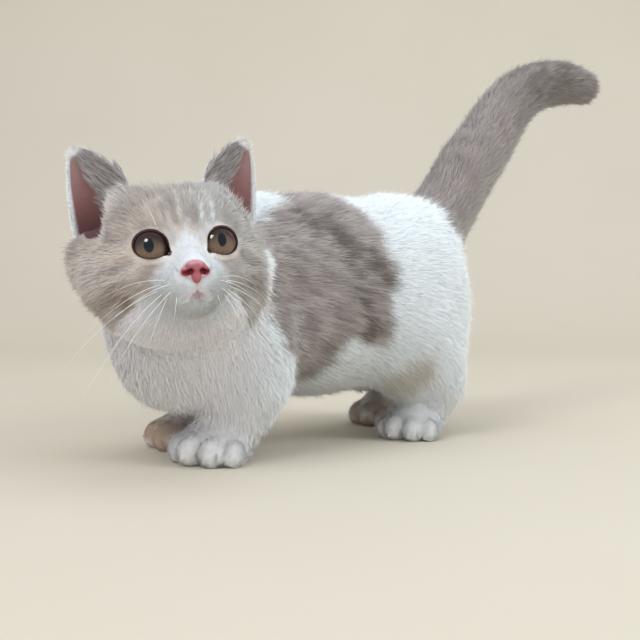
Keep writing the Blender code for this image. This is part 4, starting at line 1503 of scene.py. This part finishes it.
def grow_ear_tuft(name, points, normals, data, coat):
    """Long pale hairs from an ear's inner edge, across its cup."""
    t = rng.uniform(-0.08, 0.88, TUFT_HAIRS)
    v = -1.0 + rng.random(TUFT_HAIRS) ** 1.3 * (0.60 + 0.55 * np.clip(t, 0, 1))
    cup = np.flatnonzero(data["marks"][:, 2] < 0.5)
    by_mark = tree_of([(a * 30, b * 10, 0) for a, b, _ in data["marks"][cup]])
    at = cup[[by_mark.find((a * 30, b * 10, 0))[1] for a, b in zip(t, v)]]
    by_place = tree_of(points)
    spots = data["points"][at] + rng.normal(0, 0.35, (TUFT_HAIRS, 3))
    up = normals[[by_place.find(p)[1] for p in data["points"][at]]]
    high = smooth(t / 0.55)[:, None]
    sweep = data["up"] * (0.15 + 0.95 * high) * rng.uniform(0.8, 1.2, (TUFT_HAIRS, 1))
    sweep += data["out"] * (1.0 - 0.72 * high) * rng.uniform(0.7, 1.3, (TUFT_HAIRS, 1))
    long = rng.uniform(5.5, 10.5, TUFT_HAIRS) * (1 - 0.45 * smooth((t - 0.45) / 0.4))
    long *= 0.7 + 0.3 * smooth(t / 0.2)
    dark = 0.48 + 0.52 * rng.random(TUFT_HAIRS) ** 1.2
    tone = mix(np.tile(EAR_TUFT, (TUFT_HAIRS, 1)), EAR_TUFT_DARK, dark)
    wide, lift = np.full(TUFT_HAIRS, 0.24), np.full(TUFT_HAIRS, 26.0)
    grown = hairs(spots, up, sweep, long, wide, lift, tone, 3, rng, 0.45, 8.0, 8.0)
    coat_piece("ear_tuft_" + name, grown, np.stack([v, t], axis=1), coat, "coat_white")


def add_ear(side, skin, coat):
    """Grow an ear's hairs, then join the ear to the skin."""
    ear, data = make_ear(side)
    points, normals = grow_ear_coat(SIDE_NAMES[side], ear, data, coat)
    grow_ear_tuft(SIDE_NAMES[side], points, normals, data, coat)
    combine(skin, ear, "UNION")
    return data


# The coat.

TORSO_PARTS = (("chest", -999, -10), ("flank", -10, 60), ("rump", 60, 999))
SHORT_HAIR = 4
SHORT_TUFT, LONG_TUFT = 9.0, 14.0
GATHER_SHORT, GATHER_TAIL, GATHER_CHEST, GATHER_BODY = 0.12, 0.25, 0.10, 0.18
GUARD_SHARE = 0.07
GUARD_LONGER = 1.32


def coat_plans(roots, share):
    """The pieces of the coat: each one's name, the roots that it has, and where they lie on its map."""
    local = to_head(roots)
    owner = share.argmax(axis=0)
    x, y, z = roots.T
    middle, _, along = tail_nearest(roots)
    out = roots - middle
    around_tail = np.arctan2(out[:, 0], out @ unit(np.array((0.0, -0.75, 1.0))))
    longitude = np.arctan2(local[:, 0], -local[:, 1])
    latitude = np.arctan2(local[:, 2] + 4, np.hypot(local[:, 0], local[:, 1]))
    left = local[:, 0] >= 0
    face = (owner == 2) & (face_gap(roots) < 30)
    rest = (owner == 2) & ~face
    on_head, on_tail = (longitude, latitude), (around_tail, along)
    pieces = [
        ("coat_face_left", face & left, on_head),
        ("coat_face_right", face & ~left, on_head),
        ("coat_head_left", rest & left, on_head),
        ("coat_head_right", rest & ~left, on_head),
        ("coat_tail_base", (owner == 1) & (along < 0.5), on_tail),
        ("coat_tail_end", (owner == 1) & (along >= 0.5), on_tail),
    ]
    around_body = np.arctan2(x, z - 74)
    for side, on_side in (("left", x >= 0), ("right", x < 0)):
        for part, front, back in TORSO_PARTS:
            chosen = (owner == 0) & on_side & (y >= front) & (y < back)
            pieces.append(("coat_%s_%s" % (part, side), chosen, (around_body, y)))
    for k, name in enumerate(PAWS):
        spot = PAWS[name][1]
        around = np.arctan2(x - spot[0], -(y - spot[1] - 5))
        up_paw = z + 0.5 * np.hypot(*(roots[:, :2] - spot).T)
        pieces.append(("coat_leg_" + name, owner == 3 + k, (around, z)))
        pieces.append(("coat_paw_" + name, owner == 7 + k, (around, up_paw)))
    return pieces


def coat_density(where, normals, share):
    """How many hairs grow on each square millimetre of the skin."""
    head = 4.2 + 5.0 * smooth((36 - face_gap(where)) / 20)
    thick = by_group(share, 3.6 + 1.6 * chest_of(where), 3.8, head, 4.4, 8.0)
    bare = (lid_gap(where) < 0.5) | (nose_gap(where) < 0.4)
    bare |= (where[:, 2] < 0.4) & (normals[:, 2] < -0.5)
    thick[bare] = 0.0
    return thick


def grow_coat(skin, coat):
    """The short coat on all of the skin but the ears."""
    points, skin_normals, triangles = mesh_arrays(skin)
    density = coat_density(points, skin_normals, shares(group_distances(points)))
    roots, normals, _, _ = scatter(points, skin_normals, triangles, density, rng)
    share = shares(group_distances(roots))
    keep = (lid_gap(roots) > 0.55) & (nose_gap(roots) > 0.3)
    keep &= (mouth_gap(roots) > 0.9) & (ear_hollow_gap(roots) > 1.2)
    roots, normals, share = roots[keep], normals[keep], share[:, keep]
    count = len(roots)
    lie = unit(lie_of(roots, share))
    length = coat_length(roots, share)
    # The fringe before each ear is longer and points up to the ear.
    edge = ear_edge(roots) * share[2]
    outward = np.sign(to_head(roots)[:, 0]) * 0.65
    toward_ear = unit(np.stack([outward, np.full(count, 0.05), np.full(count, 0.9)], axis=1))
    lie += edge[:, None] * (1.6 * toward_ear @ HEAD_TURN.T - lie)
    length += 3.2 * edge
    # The coat is shorter near the lids, the mouth, the nose and the ears' hollows.
    length *= 0.45 + 0.55 * smooth((lid_gap(roots) - 0.4) / 3.5)
    length *= 0.35 + 0.65 * smooth((np.minimum(mouth_gap(roots), nose_gap(roots)) - 0.5) / 3.0)
    length *= 0.40 + 0.60 * smooth((ear_hollow_gap(roots) - 1.5) / 6.0)
    length *= rng.uniform(0.72, 1.12, count)
    guard = rng.random(count) < GUARD_SHARE * (1 - 0.75 * chest_of(roots))
    length[guard] *= GUARD_LONGER
    width = np.clip(0.16 + 0.020 * length, 0.19, 0.34)
    lift = by_group(share, 48.0, 47.0, 24 + 22 * smooth((face_gap(roots) - 16) / 30), 42.0, 32.0)
    lift += 13 * guard + 12 * edge - 7 * chest_of(roots) * share[0]
    # Hairs carry the colour of a place a little before or behind them, which frays the markings.
    shift = rng.uniform(-2.6, 4.2, count)[:, None] * smooth((length - 2) / 6)[:, None]
    sources = roots - unit(lie) * shift
    colours = markings(sources, group_distances(sources))
    colours = mix(colours, EAR_TUFT, 0.60 * edge * rng.random(count))
    for name, chosen, plan in coat_plans(roots, share):
        i = np.flatnonzero(chosen)
        short = length[i].mean() < SHORT_HAIR
        gather = GATHER_BODY
        if short:
            gather = GATHER_SHORT
        elif "tail" in name:
            gather = GATHER_TAIL
        elif "chest" in name:
            gather = GATHER_CHEST
        tuft = SHORT_TUFT if short else LONG_TUFT
        here = (part[i] for part in (roots, normals, lie, length, width, lift, colours))
        grown = hairs(*here, 2, rng, gather, tuft)
        slot = "coat_white" if "leg" in name or "paw" in name else "coat_lilac_white"
        coat_piece(name, grown, np.stack(plan, axis=1)[i], coat, slot)


EAR_SKIN_REACH = 0.02
FLESH = ["torso", "neck", "head", "ear_left", "ear_right", "tail_base", "tail_middle", "tail_tip"]
FLESH += ["leg_" + n for n in PAWS] + ["paw_" + n for n in PAWS]


def finish_skin(skin, ears):
    """Paint the skin with the coat's markings and with the ears' own colours."""
    where = points_of(skin)
    colours = markings(where, group_distances(where))
    for data in ears:
        tree = tree_of(data["points"])
        found = [tree.find(p) for p in where]
        on_ear = np.array([f[2] < EAR_SKIN_REACH for f in found])
        marks = data["marks"][[f[1] for f in found]]
        colours[on_ear] = ear_colour(marks[on_ear], where[on_ear])
    paint_points(skin, colours)
    skin.data.shade_smooth()
    finished(skin, coat_material("skin_under_fur", 0.75, 0.4, 0.96), "coat_lilac_white", *FLESH)


# Whiskers: where each starts on the pad, its length, the way it sets off and how much it sags.

WHISKERS = (
    ((13.5, -13.5), 27, (0.95, -0.06, 0.10), -0.30),
    ((15.5, -15.2), 36, (0.92, -0.08, -0.12), -0.34),
    ((12.0, -16.0), 30, (0.90, -0.14, -0.22), -0.30),
    ((16.5, -17.6), 42, (0.86, -0.04, -0.32), -0.34),
    ((15.0, -19.6), 44, (0.76, -0.06, -0.50), -0.32),
    ((12.0, -19.8), 38, (0.70, -0.12, -0.60), -0.30),
    ((13.0, -22.0), 24, (0.52, -0.16, -0.78), -0.20),
    ((9.0, -22.5), 14, (0.28, -0.24, -0.90), 0.10),
    ((13.0, 13.5), 11, (0.30, -0.10, 0.90), -0.10),
)
WHISKER_STEPS = 12
WHISKER_RADIUS = 0.11
# The left ones lie closer to the cheek: how long they are for the right ones' length, and how far
# each side's ones bend back.
WHISKER_LENGTH = {1: 0.60, -1: 1.0}
WHISKER_BACK = {1: 0.42, -1: 0.14}


def make_whiskers():
    draw = np.random.default_rng(WHISKER_SEED)
    paths = []
    along = np.linspace(0, 1, WHISKER_STEPS + 1)[:, None]
    for side in (1, -1):
        for (x, z), long, aim, sag in WHISKERS:
            start = np.array(on_face(side * x, z))
            aim = unit(np.array(aim) * (side, 1, 1) + draw.normal(0, 0.035, 3))
            long *= draw.uniform(0.9, 1.05) * WHISKER_LENGTH[side]
            bend = np.array((0, WHISKER_BACK[side], sag))
            spots = start + aim * (long * along - 1.2) + bend * long * along**2
            paths.append((from_head(spots), WHISKER_RADIUS * (1 - 0.85 * along[:, 0])))
    obj = cords("whiskers", paths, roundness=0)
    paint_points(obj, np.tile(WHISKER_WHITE, (len(obj.data.vertices), 1)))
    finished(obj, wet_material("whisker_hair", 0.3, 0.0), "coat_white")


# The studio.

FLOOR_DARK = (0.60, 0.54, 0.445, 1)
FLOOR_LIGHT = (0.64, 0.58, 0.485, 1)
AIR = (0.78, 0.82, 0.86, 1)
AIR_STRENGTH = 0.80
# Each light's place, size, power and colour. The last one only shows in the eyes and the others
# only light the kitten, which the last value says.
LIGHTS = (
    ("window", (0.36, -1.10, 1.15), (0.6, 0.6), 7.8, (0.97, 0.99, 1.0), True),
    ("side_window", (1.05, 0.62, 0.75), (0.6, 0.8), 9.5, (0.90, 0.97, 1.0), True),
    ("low_fill", (0.62, -0.78, 0.10), (0.7, 0.5), 1.1, (0.98, 0.99, 1.0), True),
    ("top_soft", (0.05, 0.15, 1.35), (1.1, 1.1), 5.2, (0.88, 0.96, 1.0), True),
    ("eye_light", (0.33, -1.15, 1.15), (0.46, 0.50), 16.0, (1.0, 1.0, 1.0), False),
)
LIGHT_TARGET = (0.0, -0.03, 0.09)
CAMERA_PLACE = (470, -321, 96)
CAMERA_YAW = 36.87
CAMERA_PITCH = 3.16
SENSOR_WIDTH = 36
# The photo's focal length and width, in its pixels.
FOCAL_PIXELS = 1117.6
PHOTO_WIDTH = 640


def make_stage():
    """A pale floor that sweeps up into a plain wall behind the kitten."""
    ahead, across, up = Vector((-0.8, 0.6, 0)), Vector((0.6, 0.8, 0)), Vector((0, 0, 1))
    bm = bmesh.new()
    ends = [bm.verts.new(ahead * -1.2 + across * w) for w in (-2.2, 2.2)]
    front = bm.edges.new(ends)

    def pushed(edge, step):
        made = bmesh.ops.extrude_edge_only(bm, edges=[edge])["geom"]
        bmesh.ops.translate(bm, verts=[v for v in made if isinstance(v, bmesh.types.BMVert)], vec=step)
        edges = [e for e in made if isinstance(e, bmesh.types.BMEdge)]
        return next(e for e in edges if all(v in made for v in e.verts))

    back = pushed(front, ahead * 1.75)
    centre = ahead * 0.55 + up * 0.5
    swept = bmesh.ops.spin(
        bm, geom=[back, *back.verts], cent=centre, axis=across, angle=math.pi / 2, steps=12, use_merge=False
    )
    pushed(next(e for e in swept["geom_last"] if isinstance(e, bmesh.types.BMEdge)), up * 1.7)
    bmesh.ops.recalc_face_normals(bm, faces=bm.faces)
    bm.faces.ensure_lookup_table()
    if bm.faces[0].normal.z < 0:
        bmesh.ops.reverse_faces(bm, faces=bm.faces)
    mesh = bpy.data.meshes.new("studio_floor")
    bm.to_mesh(mesh)
    bm.free()
    mesh.shade_smooth()
    floor = placed("studio_floor", mesh)
    material, nodes, links, shader = new_material("pale_floor", 0.7)
    ramp = nodes.new("ShaderNodeValToRGB")
    ramp.color_ramp.elements[0].color = FLOOR_DARK
    ramp.color_ramp.elements[1].color = FLOOR_LIGHT
    links.new(grain_of(nodes, links, 6.0), ramp.inputs["Fac"])
    links.new(ramp.outputs["Color"], shader.inputs["Base Color"])
    floor.data.materials.append(material)


def add_light(name, place, size, power, colour, lit):
    light = bpy.data.lights.new(name, "AREA")
    light.shape = "RECTANGLE"
    light.size, light.size_y = size
    light.energy = power
    light.color = colour
    obj = placed(name, light)
    obj.location = place
    obj.visible_diffuse, obj.visible_glossy = lit, not lit
    obj.rotation_euler = (Vector(LIGHT_TARGET) - Vector(place)).to_track_quat("-Z", "Y").to_euler()


def add_camera():
    """The camera at the photo's place and angle."""
    camera = bpy.data.cameras.new("camera")
    camera.sensor_width = SENSOR_WIDTH
    camera.lens = SENSOR_WIDTH * FOCAL_PIXELS / PHOTO_WIDTH
    camera.clip_start = 0.01
    obj = placed("camera", camera)
    yaw, pitch = math.radians(CAMERA_YAW), math.radians(CAMERA_PITCH)
    level = Vector((-math.cos(yaw), math.sin(yaw), 0))
    ahead = level * math.cos(pitch) - Vector((0, 0, 1)) * math.sin(pitch)
    obj.rotation_euler = ahead.to_track_quat("-Z", "Y").to_euler()
    obj.location = (Vector(CAMERA_PLACE) - Vector(MIDDLE)) * MM
    bpy.context.scene.camera = obj


def light_studio():
    for light in LIGHTS:
        add_light(*light)
    world = bpy.data.worlds.new("studio_air")
    world.use_nodes = True
    air = world.node_tree.nodes["Background"]
    air.inputs["Color"].default_value = AIR
    air.inputs["Strength"].default_value = AIR_STRENGTH
    bpy.context.scene.world = world
    bpy.context.scene.view_settings.view_transform = "Standard"


# Put everything together.

coat = coat_material("short_fur", 0.7)
skin = make_skin()
grow_coat(skin, coat)
ears = [add_ear(side, skin, coat) for side in (1, -1)]
finish_skin(skin, ears)
glossy = wet_material("wet_eye", 0.12, 1.0)
damp = wet_material("wet_lid_rim", 0.35, 0.3)
for side in (1, -1):
    make_eye(side, glossy)
    make_lid_rim(side, damp)
    make_tear_corner(side, damp)
make_nose(wet_material("nose_leather_skin", 0.42, 0.15, 0.5, 2600.0))
make_whiskers()
make_stage()
light_studio()
add_camera()
